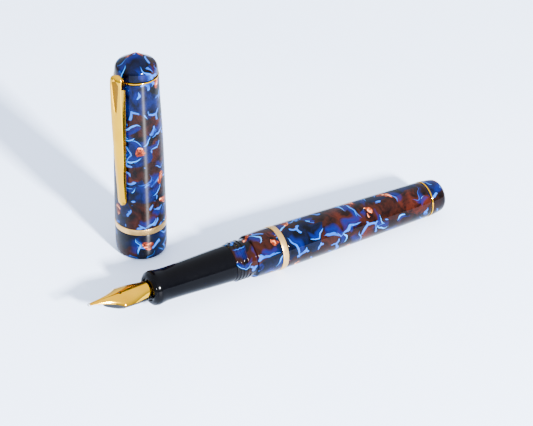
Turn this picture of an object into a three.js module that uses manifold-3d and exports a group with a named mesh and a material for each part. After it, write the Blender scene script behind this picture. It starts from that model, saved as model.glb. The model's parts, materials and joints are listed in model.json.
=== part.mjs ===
// Fountain pen with its cap off. The pen lies on its barrel band and its tail ring,
// and the cap stands on its mouth beside it. Millimetres, +Z up.
import * as THREE from 'three';
import { mergeVertices } from 'three/addons/utils/BufferGeometryUtils.js';
import Module from 'manifold-3d';

const wasm = await Module();
wasm.setup();

// ---------------------------------------------------------------- driving sizes
// Stations on the pen run along its axis from the middle of the barrel band:
// negative towards the nib, positive towards the tail.
const SEGMENTS = 32;
const SMALL_SEGMENTS = 24;

const SEAT = 0.04;              // face to face gap of pieces that are screwed tight
const FIT = 0.05;               // radial gap of a pushed or glued fit
const RUN = 0.1;                // radial gap of a thread or a sliding fit

const BAND_RADIUS = 6.95;
const BAND_WIDTH = 2.0;
const BARREL_FRONT_RADIUS = 6.8;
const BARREL_TAIL_RADIUS = 5.7;
const BARREL_LENGTH = 54.0;     // from the band's rear face to the tail ring
const BARREL_BORE = 4.6;
const BARREL_END_WALL = 5.0;
const SHOULDER_LENGTH = 8.4;    // smooth resin between the cap threads and the band
const SHOULDER_RADIUS = 6.62;
const CAP_THREAD_RADIUS = 6.05;
const CAP_THREAD_LENGTH = 5.2;
const CAP_THREAD_PITCH = 1.2;
const CAP_THREAD_DEPTH = 0.22;
const THREAD_RELIEF_LENGTH = 1.2;
const THREAD_RELIEF_RADIUS = 5.72;
const COLLAR_SPIGOT_RADIUS = 5.65;
const COLLAR_SPIGOT_LENGTH = 8.8;

const TAIL_RING_RADIUS = 5.78;
const TAIL_RING_WIDTH = 0.55;
const TAIL_LENGTH = 6.3;        // tail finial from its ring to its point
const TAIL_END_RADIUS = 5.3;
const TAIL_DOME = 0.75;
const STEM_RADIUS = 2.5;        // screwed stems of the tail and cap finials
const STEM_LENGTH = 3.4;

const LINER_WALL = 0.45;
const LINER_LENGTH = 12.0;
const SECTION_THREAD_RADIUS = 4.65;
const SECTION_THREAD_LENGTH = 9.0;
const CONVERTER_CLEARANCE = 0.25;
const SECTION_SPIGOT_LENGTH = 9.0;
const SECTION_SPIGOT_RADIUS = 4.3;
const SEAL_WIDTH = 0.85;

const SECTION_LENGTH = 27.3;
const SECTION_REAR_RADIUS = 5.6;
const SECTION_WAIST_RADIUS = 4.9;
const FLANGE_RADIUS = 5.35;
const FLANGE_SETBACK = 1.9;     // flange crest behind the lip
const LIP_RADIUS = 3.9;

const HOUSING_RADIUS = 3.4;
const HOUSING_LENGTH = 15.8;
const NIPPLE_RADIUS = 1.3;
const NIPPLE_LENGTH = 6.5;
const NIPPLE_BORE = 0.6;

const NIB_RADIUS = 2.78;
const NIB_THICKNESS = 0.32;
const NIB_EXPOSED = 19.9;       // from the section's lip to the nib's tip
const NIB_TAIL = 11.0;          // part of the nib inside its housing
const NIB_WING_SETBACK = 10.3;  // from the tip back to the widest place
const NIB_WING_HALF = 4.15;
const NIB_TIP_HALF = 0.42;
const NIB_WRAP = 88;            // degrees each side of the top, at the housing
const NIB_TIP_RISE = 1.85;      // height of the tip over the pen's axis
const NIB_WING_RISE = 0.6;      // height of the wings' edges over the pen's axis
const NIB_VENT_SETBACK = 10.4;
const NIB_VENT_RADIUS = 0.42;
const NIB_SLIT = 0.14;
const NIB_ROLL = 10;            // degrees the pen is rolled from nib up
const TIPPING_RADIUS = 0.48;

const FEED_GAP = 0.14;          // radial gap between the feed and the nib over it
const FEED_FIN_RADIUS = 3.05;
const FEED_SETBACK = 5.2;       // feed tip behind the nib's tip
const FEED_CONE = 5.6;
const FEED_FIN_TOP = -0.45;     // the fins stay below the nib's wings
const FEED_FIN_COUNT = 7;
const FEED_FIN_PITCH = 1.0;
const FEED_FIN_SLOT = 0.4;

const CONVERTER_RADIUS = 3.6;
const CONVERTER_BORE = 2.9;
const CONVERTER_SOCKET = 6.0;
const CONVERTER_TUBE_LENGTH = 46.5;
const SLEEVE_WALL = 0.28;
const SLEEVE_OVERLAP = 8.0;
const GUIDE_LENGTH = 8.0;
const KNOB_RADIUS = 3.3;
const KNOB_LENGTH = 10.0;
const KNOB_RIBS = 16;
const PISTON_LENGTH = 3.6;
const PISTON_TRAVEL = 20.0;
const ROD_RADIUS = 1.7;
const ROD_BORE = 1.2;
const SCREW_RADIUS = 1.1;
const SCREW_ENGAGEMENT = 2.7;
const ROD_END_WALL = 1.2;

const CAP_LENGTH = 68.0;
const CAP_MOUTH_RADIUS = 7.05;
const CAP_BODY_RADIUS = 7.9;
const CAP_TOP_RADIUS = 6.6;
const CAP_BAND_HEIGHT = 9.1;
const CAP_BAND_WIDTH = 2.0;
const CAP_BAND_RADIUS = 7.98;
const CAP_BAND_WALL = 0.55;
const CLIP_RING_HEIGHT = 60.6;
const CLIP_RING_THICKNESS = 0.55;
const CLIP_RING_RADIUS = 6.7;
const CAP_BORE = 5.8;
const CAP_END_WALL = 3.0;
const FINIAL_SHOULDER_DROP = 4.9;
const FINIAL_CONE_RADIUS = 5.0;
const FINIAL_CONE_DROP = 3.05;
const INNER_CAP_BORE = 4.7;
const INNER_CAP_WALL = 0.85;
const INNER_CAP_LENGTH = 24.0;
const INNER_CAP_END = 1.4;
const FINIAL_SCREW_RADIUS = 1.15;
const FINIAL_SCREW_HEAD = 2.2;
const FINIAL_SCREW_HEAD_HEIGHT = 1.05;
const FINIAL_SCREW_GRIP = 3.6;

const CLIP_TOP_HALF = 2.1;
const CLIP_TIP_HALF = 1.25;
const CLIP_NECK_HALF = 1.5;
const CLIP_ARCH = 3.0;          // top of the arch above the clip ring
const CLIP_TIP_HEIGHT = 19.6;
const CLIP_REACH = 10.3;        // front face's distance from the cap's axis, at the top
const CLIP_TIP_REACH = 9.25;
const CLIP_STRIP = 0.75;         // thickness of the strip over the arch
const CLIP_DEPTH = 2.5;          // depth of the folded flanks under the arch
const CLIP_HOLE = 1.4;           // the flanks start this far under the ring's top
const CLIP_GAP = 0.3;

// place of the cap's axis from the middle of the barrel band, and where its clip faces
const CAP_ASIDE_X = -28.7;
const CAP_ASIDE_Y = 30.9;
const CLIP_FACES = -157.6;

// ---------------------------------------------------------------- worked out
const BAND_REAR = BAND_WIDTH / 2;
const BAND_FRONT = -BAND_WIDTH / 2;
const SHOULDER = BAND_FRONT - SHOULDER_LENGTH;
const THREAD_REAR = SHOULDER - THREAD_RELIEF_LENGTH;
const COLLAR_FRONT = THREAD_REAR - CAP_THREAD_LENGTH - 0.6;
const SECTION_REAR = COLLAR_FRONT - SEAT;
const LIP = SECTION_REAR - SECTION_LENGTH;
const BARREL_REAR = BAND_REAR + SEAT + BARREL_LENGTH;
const TAIL_RING_FRONT = BARREL_REAR + SEAT;
const TAIL_FRONT = TAIL_RING_FRONT + TAIL_RING_WIDTH + SEAT;
const TAIL_POINT = TAIL_FRONT + TAIL_LENGTH;
const FEED_RADIUS = NIB_RADIUS - NIB_THICKNESS - FEED_GAP;
const SECTION_THREAD_BORE = CONVERTER_RADIUS + CONVERTER_CLEARANCE;
const LINER_RADIUS = SECTION_THREAD_RADIUS + RUN + LINER_WALL;
const NIB_TIP = LIP - NIB_EXPOSED;
const NIB_REAR = LIP + NIB_TAIL;
const HOUSING_FRONT = LIP + 0.5;
const HOUSING_REAR = HOUSING_FRONT + HOUSING_LENGTH;
const NIPPLE_REAR = HOUSING_REAR + NIPPLE_LENGTH;
const CONVERTER_FRONT = HOUSING_REAR + 0.3;
const CONVERTER_WEB = CONVERTER_FRONT + CONVERTER_SOCKET + 1.0;
const RESERVOIR_FRONT = CONVERTER_WEB + 1.0;
const TUBE_REAR = CONVERTER_FRONT + CONVERTER_TUBE_LENGTH;
const PISTON_FRONT = RESERVOIR_FRONT + 0.5;
const PISTON_REAR = PISTON_FRONT + PISTON_LENGTH;
const ROD_REAR = PISTON_REAR + ROD_END_WALL + PISTON_TRAVEL + SCREW_ENGAGEMENT;
const GUIDE_FRONT = TUBE_REAR + 0.3;
const GUIDE_REAR = GUIDE_FRONT + GUIDE_LENGTH;
const KNOB_FRONT = Math.max(ROD_REAR + PISTON_TRAVEL, GUIDE_REAR) + 0.3;
const SLEEVE_RADIUS = CONVERTER_RADIUS + FIT + SLEEVE_WALL;
const CLIP_RING_TOP = CLIP_RING_HEIGHT + CLIP_RING_THICKNESS;
const CAP_TUBE_TOP = CLIP_RING_HEIGHT - SEAT;
const FINIAL_BASE = CLIP_RING_TOP + SEAT;
const CAP_CEILING = CAP_TUBE_TOP - CAP_END_WALL;
const INNER_CAP_RADIUS = INNER_CAP_BORE + INNER_CAP_WALL;
const INNER_CAP_TOP = CAP_CEILING - SEAT;
const INNER_CAP_MOUTH = INNER_CAP_TOP - INNER_CAP_LENGTH;
// lying on the band and on the tail ring tips the tail down by this angle
const TAIL_RING_MIDDLE = TAIL_RING_FRONT + TAIL_RING_WIDTH / 2;
const REST_TILT = Math.asin((BAND_RADIUS - TAIL_RING_RADIUS) / TAIL_RING_MIDDLE);

// ---------------------------------------------------------------- materials
function finish(color, roughness, metalness) {
  return new THREE.MeshStandardMaterial({ color, roughness, metalness });
}

const resin = () => finish(0x1b2a5e, 0.12, 0);
const gold = () => finish(0xd8a53c, 0.15, 1);
const satinGold = () => finish(0xc9a878, 0.35, 1);
const blackResin = () => finish(0x0b0d12, 0.15, 0);
const blackPlastic = () => finish(0x101114, 0.5, 0);
const brass = () => finish(0xb5923f, 0.3, 1);
const steel = () => finish(0xa9adb1, 0.3, 1);
const rubber = () => finish(0x15161a, 0.8, 0);
const clearPlastic = () => finish(0xdfe8ee, 0.05, 0);

// ---------------------------------------------------------------- shape helpers
// one closed skin facing out: shared corners merged, slivers dropped, turned if inside out
function closed(geometry) {
  const bare = geometry.clone();
  bare.deleteAttribute('normal');
  bare.deleteAttribute('uv');
  const merged = mergeVertices(bare, 1e-4);
  const index = merged.index.array;
  const at = merged.attributes.position;
  const kept = [];
  const a = new THREE.Vector3();
  const b = new THREE.Vector3();
  const c = new THREE.Vector3();
  let volume = 0;
  for (let i = 0; i < index.length; i += 3) {
    const [p, q, r] = [index[i], index[i + 1], index[i + 2]];
    if (p === q || q === r || r === p) continue;
    kept.push(p, q, r);
    a.fromBufferAttribute(at, p);
    b.fromBufferAttribute(at, q);
    c.fromBufferAttribute(at, r);
    volume += a.dot(b.cross(c));
  }
  if (volume < 0) kept.reverse();
  merged.setIndex(kept);
  return merged;
}

function solid(geometry) {
  const skin = closed(geometry);
  return new wasm.Manifold(new wasm.Mesh({
    numProp: 3,
    vertProperties: new Float32Array(skin.attributes.position.array),
    triVerts: new Uint32Array(skin.index.array),
  }));
}

function fromSolid(body) {
  const mesh = body.getMesh();
  const geometry = new THREE.BufferGeometry();
  geometry.setAttribute('position', new THREE.BufferAttribute(mesh.vertProperties, 3));
  geometry.setIndex(new THREE.BufferAttribute(mesh.triVerts, 1));
  return geometry;
}

function named(name, geometry, material) {
  const mesh = new THREE.Mesh(closed(geometry), material);
  mesh.geometry.computeVertexNormals();
  mesh.name = name;
  return mesh;
}

// a turned piece standing on Z from [radius, height] pairs that run round its section;
// a section that leaves the axis is closed on itself
function turned(section, segments = SEGMENTS) {
  const points = section.map(([r, z]) => new THREE.Vector2(r, z));
  const onAxis = section[0][0] === 0 && section[section.length - 1][0] === 0;
  if (!onAxis) points.push(points[0].clone());
  const lathe = new THREE.LatheGeometry(points, segments);
  lathe.rotateX(Math.PI / 2);
  return lathe;
}

// the same piece laid along the pen's axis, its heights now stations towards the tail
function turnedLying(section, segments = SEGMENTS) {
  const lathe = turned(section, segments);
  lathe.rotateY(Math.PI / 2);
  return lathe;
}

function ring(inner, outer, low, high) {
  return [[inner, low], [outer, low], [outer, high], [inner, high]];
}

// [radius, height] pairs on a smooth curve through the given pairs
function smooth(pairs, count) {
  const curve = new THREE.SplineCurve(pairs.map(([r, z]) => new THREE.Vector2(r, z)));
  return curve.getPoints(count).map((p) => [p.x, p.y]);
}

function arcPairs(centerR, centerZ, radius, fromDegrees, toDegrees, count) {
  const pairs = [];
  for (let i = 0; i <= count; i += 1) {
    const angle = THREE.MathUtils.degToRad(fromDegrees + ((toDegrees - fromDegrees) * i) / count);
    pairs.push([centerR + radius * Math.cos(angle), centerZ + radius * Math.sin(angle)]);
  }
  return pairs;
}

// ---------------------------------------------------------------- barrel
function barrelCollar() {
  const crests = [];
  const turns = Math.floor((CAP_THREAD_LENGTH - 0.4) / CAP_THREAD_PITCH);
  for (let i = 0; i < turns; i += 1) {
    const start = THREAD_REAR - 0.2 - (turns - i) * CAP_THREAD_PITCH;
    crests.push([CAP_THREAD_RADIUS - CAP_THREAD_DEPTH, start + 0.2]);
    crests.push([CAP_THREAD_RADIUS, start + CAP_THREAD_PITCH / 2]);
    crests.push([CAP_THREAD_RADIUS, start + CAP_THREAD_PITCH / 2 + 0.2]);
  }
  const linerSeat = LINER_RADIUS + FIT;
  const linerEnd = COLLAR_FRONT + SEAL_WIDTH + LINER_LENGTH + 0.1;
  return turnedLying([
    [linerSeat, COLLAR_FRONT],
    [SECTION_REAR_RADIUS, COLLAR_FRONT],
    [CAP_THREAD_RADIUS - CAP_THREAD_DEPTH, COLLAR_FRONT + 0.4],
    ...crests,
    [THREAD_RELIEF_RADIUS, THREAD_REAR],
    [THREAD_RELIEF_RADIUS, SHOULDER - 0.1],
    [SHOULDER_RADIUS - 0.35, SHOULDER],
    [SHOULDER_RADIUS - 0.08, SHOULDER + 0.25],
    [SHOULDER_RADIUS, SHOULDER + 0.7],
    [BARREL_FRONT_RADIUS, BAND_FRONT - SEAT],
    [COLLAR_SPIGOT_RADIUS, BAND_FRONT - SEAT],
    [COLLAR_SPIGOT_RADIUS, BAND_REAR + COLLAR_SPIGOT_LENGTH],
    [SECTION_THREAD_RADIUS, BAND_REAR + COLLAR_SPIGOT_LENGTH],
    [SECTION_THREAD_RADIUS, linerEnd],
    [linerSeat, linerEnd],
  ]);
}

function barrelTube() {
  const spigotSeat = COLLAR_SPIGOT_RADIUS + FIT;
  const front = BAND_REAR + SEAT;
  const spigotEnd = BAND_REAR + COLLAR_SPIGOT_LENGTH + 0.3;
  const length = BARREL_REAR - front;
  const taper = BARREL_FRONT_RADIUS - BARREL_TAIL_RADIUS;
  const outside = smooth([
    [BARREL_FRONT_RADIUS, front],
    [BARREL_FRONT_RADIUS - taper * 0.2, front + length * 0.28],
    [BARREL_FRONT_RADIUS - taper * 0.6, front + length * 0.66],
    [BARREL_TAIL_RADIUS, BARREL_REAR],
  ], 9);
  return turnedLying([
    ...outside,
    [STEM_RADIUS + FIT, BARREL_REAR],
    [STEM_RADIUS + FIT, BARREL_REAR - BARREL_END_WALL],
    [BARREL_BORE, BARREL_REAR - BARREL_END_WALL],
    [BARREL_BORE, spigotEnd],
    [spigotSeat, spigotEnd],
    [spigotSeat, front],
  ]);
}

function barrelBand() {
  return turnedLying([
    [COLLAR_SPIGOT_RADIUS + FIT, BAND_FRONT],
    [BAND_RADIUS - 0.12, BAND_FRONT],
    [BAND_RADIUS, BAND_FRONT + 0.25],
    [BAND_RADIUS, BAND_REAR - 0.25],
    [BAND_RADIUS - 0.12, BAND_REAR],
    [COLLAR_SPIGOT_RADIUS + FIT, BAND_REAR],
  ]);
}

function barrelLiner() {
  const front = COLLAR_FRONT + SEAL_WIDTH + 0.05;
  const inside = SECTION_THREAD_RADIUS + RUN;
  return turnedLying(ring(inside, LINER_RADIUS, front, front + LINER_LENGTH));
}

function tailRing() {
  const rear = TAIL_RING_FRONT + TAIL_RING_WIDTH;
  return turnedLying(ring(STEM_RADIUS + FIT, TAIL_RING_RADIUS, TAIL_RING_FRONT, rear));
}

function tailFinial() {
  const edge = TAIL_POINT - TAIL_DOME;
  return turnedLying([
    [0, TAIL_RING_FRONT - STEM_LENGTH],
    [STEM_RADIUS, TAIL_RING_FRONT - STEM_LENGTH],
    [STEM_RADIUS, TAIL_FRONT],
    [BARREL_TAIL_RADIUS, TAIL_FRONT],
    [TAIL_END_RADIUS + 0.15, edge - 2.8],
    [TAIL_END_RADIUS, edge - 1.9],
    ...arcPairs(TAIL_END_RADIUS - 2, edge - 1.75, 1.95, 8, 66, 4),
    [0, TAIL_POINT],
  ]);
}

// ---------------------------------------------------------------- grip
function section() {
  const crest = LIP + FLANGE_SETBACK;
  const rearBore = SECTION_SPIGOT_RADIUS + FIT;
  const bore = HOUSING_RADIUS + FIT;
  const step = HOUSING_REAR + 0.05;
  const spigotEnd = SECTION_REAR - SECTION_SPIGOT_LENGTH - 0.3;
  const grip = smooth([
    [SECTION_WAIST_RADIUS + 0.02, crest + 2.6],
    [SECTION_WAIST_RADIUS + 0.03, crest + 7.5],
    [SECTION_WAIST_RADIUS + 0.45, crest + 18],
    [SECTION_REAR_RADIUS, SECTION_REAR],
  ], 7);
  return turnedLying([
    [bore, LIP],
    [LIP_RADIUS, LIP],
    [LIP_RADIUS + 0.25, LIP + 0.35],
    [FLANGE_RADIUS - 0.55, crest - 1.2],
    [FLANGE_RADIUS - 0.12, crest - 0.7],
    [FLANGE_RADIUS, crest],
    [FLANGE_RADIUS - 0.1, crest + 0.7],
    ...grip,
    [rearBore, SECTION_REAR],
    [rearBore, spigotEnd],
    [CONVERTER_RADIUS + 0.2, spigotEnd],
    [CONVERTER_RADIUS + 0.2, step],
    [bore, step],
  ]);
}

function sectionThread() {
  const front = SECTION_REAR - SECTION_SPIGOT_LENGTH;
  const rear = SECTION_REAR + SECTION_THREAD_LENGTH;
  return turnedLying([
    [SECTION_THREAD_BORE, front],
    [SECTION_SPIGOT_RADIUS, front],
    [SECTION_SPIGOT_RADIUS, SECTION_REAR],
    [SECTION_THREAD_RADIUS, SECTION_REAR + 0.1],
    [SECTION_THREAD_RADIUS, rear - 0.4],
    [SECTION_THREAD_RADIUS - 0.3, rear],
    [SECTION_THREAD_BORE, rear],
  ]);
}

function sealRing() {
  const middle = COLLAR_FRONT + SEAL_WIDTH / 2;
  const inner = SECTION_THREAD_RADIUS + 0.05;
  const half = (LINER_RADIUS - inner) / 2;
  return turnedLying(arcPairs(inner + half, middle, half * 0.98, 0, 315, 7));
}

function nibHousing() {
  const pocket = LIP + NIB_TAIL + 0.4;
  return turnedLying([
    [NIB_RADIUS + RUN, HOUSING_FRONT],
    [HOUSING_RADIUS, HOUSING_FRONT],
    [HOUSING_RADIUS, HOUSING_REAR],
    [NIPPLE_RADIUS, HOUSING_REAR],
    [NIPPLE_RADIUS, NIPPLE_REAR - 0.6],
    [NIPPLE_RADIUS - 0.3, NIPPLE_REAR],
    [NIPPLE_BORE, NIPPLE_REAR],
    [NIPPLE_BORE, pocket],
    [NIB_RADIUS + RUN, pocket],
  ]);
}

// ---------------------------------------------------------------- nib unit
// half width of the nib's outline and the arch of its sheet at a distance from the tip
function nibOutline(fromTip) {
  const wing = NIB_WING_SETBACK;
  const tailHalf = NIB_RADIUS * Math.sin(THREE.MathUtils.degToRad(NIB_WRAP));
  const tailRise = NIB_RADIUS * Math.cos(THREE.MathUtils.degToRad(NIB_WRAP));
  if (fromTip < wing) {
    const t = fromTip / wing;
    const half = NIB_TIP_HALF + (NIB_WING_HALF - NIB_TIP_HALF) * (0.46 * t + 0.54 * t ** 3);
    const edge = NIB_TIP_RISE + (NIB_WING_RISE - NIB_TIP_RISE) * t ** 1.6;
    return { half, edge, top: nibCrown(fromTip) };
  }
  const t = Math.min((fromTip - wing) / (NIB_EXPOSED - wing), 1) ** 1.5;
  const ease = t * t * (3 - 2 * t);
  return {
    half: NIB_WING_HALF + (tailHalf - NIB_WING_HALF) * ease,
    edge: NIB_WING_RISE + (tailRise - NIB_WING_RISE) * ease,
    top: nibCrown(fromTip),
  };
}

function nibCrown(fromTip) {
  const t = Math.min(fromTip / NIB_EXPOSED, 1);
  return NIB_TIP_RISE + (NIB_RADIUS - NIB_TIP_RISE) * Math.sin((t * Math.PI) / 2) ** 0.75;
}

// the sheet's middle line across the nib is a circle's arc through its crown and edges
function nibPoint(fromTip, across) {
  const { half, edge, top } = nibOutline(fromTip);
  const sag = Math.max(top - edge, 0.02);
  const radius = (half * half + sag * sag) / (2 * sag);
  const reach = sag < half ? Math.asin(half / radius) : Math.PI - Math.asin(half / radius);
  const angle = reach * across;
  return {
    y: radius * Math.sin(angle),
    z: top - radius * (1 - Math.cos(angle)),
    inY: -Math.sin(angle),
    inZ: -Math.cos(angle),
  };
}

function nib() {
  const length = NIB_EXPOSED + NIB_TAIL;
  const sheet = new THREE.BoxGeometry(length, 2, 1, 26, 12, 1);
  const at = sheet.attributes.position;
  for (let i = 0; i < at.count; i += 1) {
    const fromTip = at.getX(i) + length / 2;
    const depth = (0.5 - at.getZ(i)) * NIB_THICKNESS;
    const spot = nibPoint(fromTip, at.getY(i));
    at.setXYZ(i, NIB_TIP + fromTip, spot.y + spot.inY * depth, spot.z + spot.inZ * depth);
  }
  const vent = new THREE.CylinderGeometry(NIB_VENT_RADIUS, NIB_VENT_RADIUS, 6, 12);
  vent.rotateX(Math.PI / 2);
  vent.translate(NIB_TIP + NIB_VENT_SETBACK, 0, NIB_RADIUS);
  const slitLength = NIB_VENT_SETBACK + 3;
  const slit = new THREE.BoxGeometry(slitLength, NIB_SLIT, 8);
  slit.translate(NIB_TIP + NIB_VENT_SETBACK - slitLength / 2, 0, NIB_RADIUS);
  const tipping = new THREE.SphereGeometry(TIPPING_RADIUS, 10, 8);
  tipping.translate(NIB_TIP + TIPPING_RADIUS * 0.6, 0, NIB_TIP_RISE - NIB_THICKNESS / 2);
  return fromSolid(solid(sheet).add(solid(tipping)).subtract(solid(vent)).subtract(solid(slit)));
}

function feed() {
  const tip = NIB_TIP + FEED_SETBACK;
  const coneEnd = tip + FEED_CONE;
  const finEnd = LIP - 0.5;
  const core = turnedLying([
    [0, tip + 0.7],
    [0.7, tip + 1.0],
    [1.25, tip + 3],
    [FEED_RADIUS - 0.55, coneEnd],
    [FEED_RADIUS, finEnd],
    [FEED_RADIUS, NIB_REAR],
    [0, NIB_REAR],
  ], SMALL_SEGMENTS);
  const belly = turnedLying([
    [0, tip],
    [0.55, tip],
    [FEED_FIN_RADIUS, coneEnd],
    [FEED_FIN_RADIUS, finEnd],
    [0, finEnd],
  ], SMALL_SEGMENTS);
  const below = new THREE.BoxGeometry(60, 12, 12);
  below.translate(LIP, 0, FEED_FIN_TOP - 6);
  let body = solid(core).add(solid(belly).intersect(solid(below)));
  for (let i = 0; i < FEED_FIN_COUNT; i += 1) {
    const slot = new THREE.BoxGeometry(FEED_FIN_SLOT, 12, 4);
    slot.translate(finEnd - 0.9 - i * FEED_FIN_PITCH, 0, FEED_FIN_TOP - 0.9 - 2);
    body = body.subtract(solid(slot));
  }
  return fromSolid(body);
}

// ---------------------------------------------------------------- converter
function converterTube() {
  return turnedLying([
    [NIPPLE_RADIUS + RUN, CONVERTER_FRONT],
    [CONVERTER_RADIUS - 0.3, CONVERTER_FRONT],
    [CONVERTER_RADIUS, CONVERTER_FRONT + 0.5],
    [CONVERTER_RADIUS, TUBE_REAR],
    [CONVERTER_BORE, TUBE_REAR],
    [CONVERTER_BORE, RESERVOIR_FRONT],
    [NIPPLE_BORE, RESERVOIR_FRONT],
    [NIPPLE_BORE, CONVERTER_WEB],
    [NIPPLE_RADIUS + RUN, CONVERTER_WEB],
  ], SMALL_SEGMENTS);
}

function converterSleeve() {
  const inner = CONVERTER_RADIUS + FIT;
  return turnedLying(
    ring(inner, SLEEVE_RADIUS, TUBE_REAR - SLEEVE_OVERLAP, GUIDE_REAR),
    SMALL_SEGMENTS,
  );
}

function converterGuide() {
  return turnedLying(
    ring(ROD_RADIUS + RUN, CONVERTER_RADIUS, GUIDE_FRONT, GUIDE_REAR),
    SMALL_SEGMENTS,
  );
}

function converterKnob() {
  const rear = KNOB_FRONT + KNOB_LENGTH;
  const outline = new THREE.Shape();
  for (let i = 0; i < KNOB_RIBS * 2; i += 1) {
    const angle = (i * Math.PI) / KNOB_RIBS;
    const radius = i % 2 ? KNOB_RADIUS : KNOB_RADIUS - 0.3;
    const [x, y] = [radius * Math.cos(angle), radius * Math.sin(angle)];
    if (i === 0) outline.moveTo(x, y);
    else outline.lineTo(x, y);
  }
  outline.closePath();
  const grip = new THREE.ExtrudeGeometry(outline, { depth: KNOB_LENGTH, bevelEnabled: false });
  grip.rotateY(Math.PI / 2);
  grip.translate(KNOB_FRONT, 0, 0);
  const socket = turnedLying([
    [0, KNOB_FRONT - 1],
    [SCREW_RADIUS + FIT, KNOB_FRONT - 1],
    [SCREW_RADIUS + FIT, rear - 2],
    [0, rear - 2],
  ], SMALL_SEGMENTS);
  return fromSolid(solid(grip).subtract(solid(socket)));
}

function leadScrew() {
  return turnedLying([
    [0, ROD_REAR - SCREW_ENGAGEMENT],
    [SCREW_RADIUS, ROD_REAR - SCREW_ENGAGEMENT],
    [SCREW_RADIUS, KNOB_FRONT + KNOB_LENGTH - 2.2],
    [0, KNOB_FRONT + KNOB_LENGTH - 2.2],
  ], SMALL_SEGMENTS);
}

function pistonRod() {
  return turnedLying([
    [0, PISTON_FRONT + 1.2],
    [0.9, PISTON_FRONT + 1.2],
    [0.9, PISTON_REAR + SEAT],
    [ROD_RADIUS, PISTON_REAR + SEAT],
    [ROD_RADIUS, ROD_REAR],
    [ROD_BORE, ROD_REAR],
    [ROD_BORE, PISTON_REAR + ROD_END_WALL / 2],
    [0, PISTON_REAR + ROD_END_WALL / 2],
  ], SMALL_SEGMENTS);
}

function pistonSeal() {
  const lip = CONVERTER_BORE - RUN / 2;
  const web = CONVERTER_BORE - 0.45;
  return turnedLying([
    [0, PISTON_FRONT],
    [lip - 0.2, PISTON_FRONT],
    [lip, PISTON_FRONT + 0.3],
    [lip, PISTON_FRONT + 0.9],
    [web, PISTON_FRONT + 1.3],
    [web, PISTON_REAR - 1.1],
    [lip, PISTON_REAR - 0.7],
    [lip, PISTON_REAR],
    [0.9 + FIT, PISTON_REAR],
    [0.9 + FIT, PISTON_FRONT + 1.1],
    [0, PISTON_FRONT + 1.1],
  ], SMALL_SEGMENTS);
}

// ---------------------------------------------------------------- cap
// the cap's outer radius at a height above its mouth
const capSide = new THREE.SplineCurve([
  new THREE.Vector2(CAP_BODY_RADIUS, CAP_BAND_HEIGHT + CAP_BAND_WIDTH),
  new THREE.Vector2(CAP_BODY_RADIUS - 0.17, CAP_TUBE_TOP * 0.36),
  new THREE.Vector2(CAP_BODY_RADIUS - 0.48, CAP_TUBE_TOP * 0.65),
  new THREE.Vector2(CAP_TOP_RADIUS + 0.24, CAP_TUBE_TOP * 0.88),
  new THREE.Vector2(CAP_TOP_RADIUS, CAP_TUBE_TOP),
]);

function capTube() {
  const grooveLow = CAP_BAND_HEIGHT - SEAT;
  const grooveHigh = CAP_BAND_HEIGHT + CAP_BAND_WIDTH + SEAT;
  const groove = CAP_BAND_RADIUS - CAP_BAND_WALL - FIT;
  const side = capSide.getPoints(11).map((p) => [p.x, Math.max(p.y, grooveHigh)]);
  const mouthBore = CAP_THREAD_RADIUS + RUN;
  return turned([
    [mouthBore + 0.3, 0],
    [CAP_MOUTH_RADIUS, 0],
    [CAP_MOUTH_RADIUS + 0.42, 0.35],
    [CAP_BODY_RADIUS - 0.12, 1.3],
    [CAP_BODY_RADIUS, 3.0],
    [CAP_BODY_RADIUS, grooveLow],
    [groove, grooveLow],
    [groove, grooveHigh],
    ...side,
    [STEM_RADIUS + FIT, CAP_TUBE_TOP],
    [STEM_RADIUS + FIT, CAP_CEILING],
    [INNER_CAP_RADIUS + FIT, CAP_CEILING],
    [INNER_CAP_RADIUS + FIT, INNER_CAP_MOUTH],
    [CAP_BORE, INNER_CAP_MOUTH - 0.5],
    [CAP_BORE, CAP_THREAD_LENGTH + 3.4],
    [mouthBore, CAP_THREAD_LENGTH + 2.8],
    [mouthBore, 0.4],
  ]);
}

function capBand() {
  const high = CAP_BAND_HEIGHT + CAP_BAND_WIDTH;
  const inner = CAP_BAND_RADIUS - CAP_BAND_WALL;
  return turned([
    [inner, CAP_BAND_HEIGHT],
    [CAP_BAND_RADIUS - 0.1, CAP_BAND_HEIGHT],
    [CAP_BAND_RADIUS, CAP_BAND_HEIGHT + 0.25],
    [CAP_BAND_RADIUS, high - 0.25],
    [CAP_BAND_RADIUS - 0.1, high],
    [inner, high],
  ]);
}

function clipRing() {
  return turned(ring(STEM_RADIUS + FIT, CLIP_RING_RADIUS, CLIP_RING_HEIGHT, CLIP_RING_TOP));
}

function capFinial() {
  const shoulder = CAP_LENGTH - FINIAL_SHOULDER_DROP;
  const cone = CAP_LENGTH - FINIAL_CONE_DROP;
  const stemEnd = CAP_CEILING + 0.2;
  const screwEnd = stemEnd + FINIAL_SCREW_GRIP + 0.4;
  return turned([
    [0, screwEnd],
    [FINIAL_SCREW_RADIUS + FIT, screwEnd],
    [FINIAL_SCREW_RADIUS + FIT, stemEnd],
    [STEM_RADIUS, stemEnd],
    [STEM_RADIUS, FINIAL_BASE],
    [CAP_TOP_RADIUS - 0.04, FINIAL_BASE],
    [CAP_TOP_RADIUS - 0.22, shoulder],
    [CAP_TOP_RADIUS - 0.42, shoulder + 0.85],
    [CAP_TOP_RADIUS - 0.95, cone - 0.3],
    [FINIAL_CONE_RADIUS, cone + 0.05],
    [0, CAP_LENGTH],
  ]);
}

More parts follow.
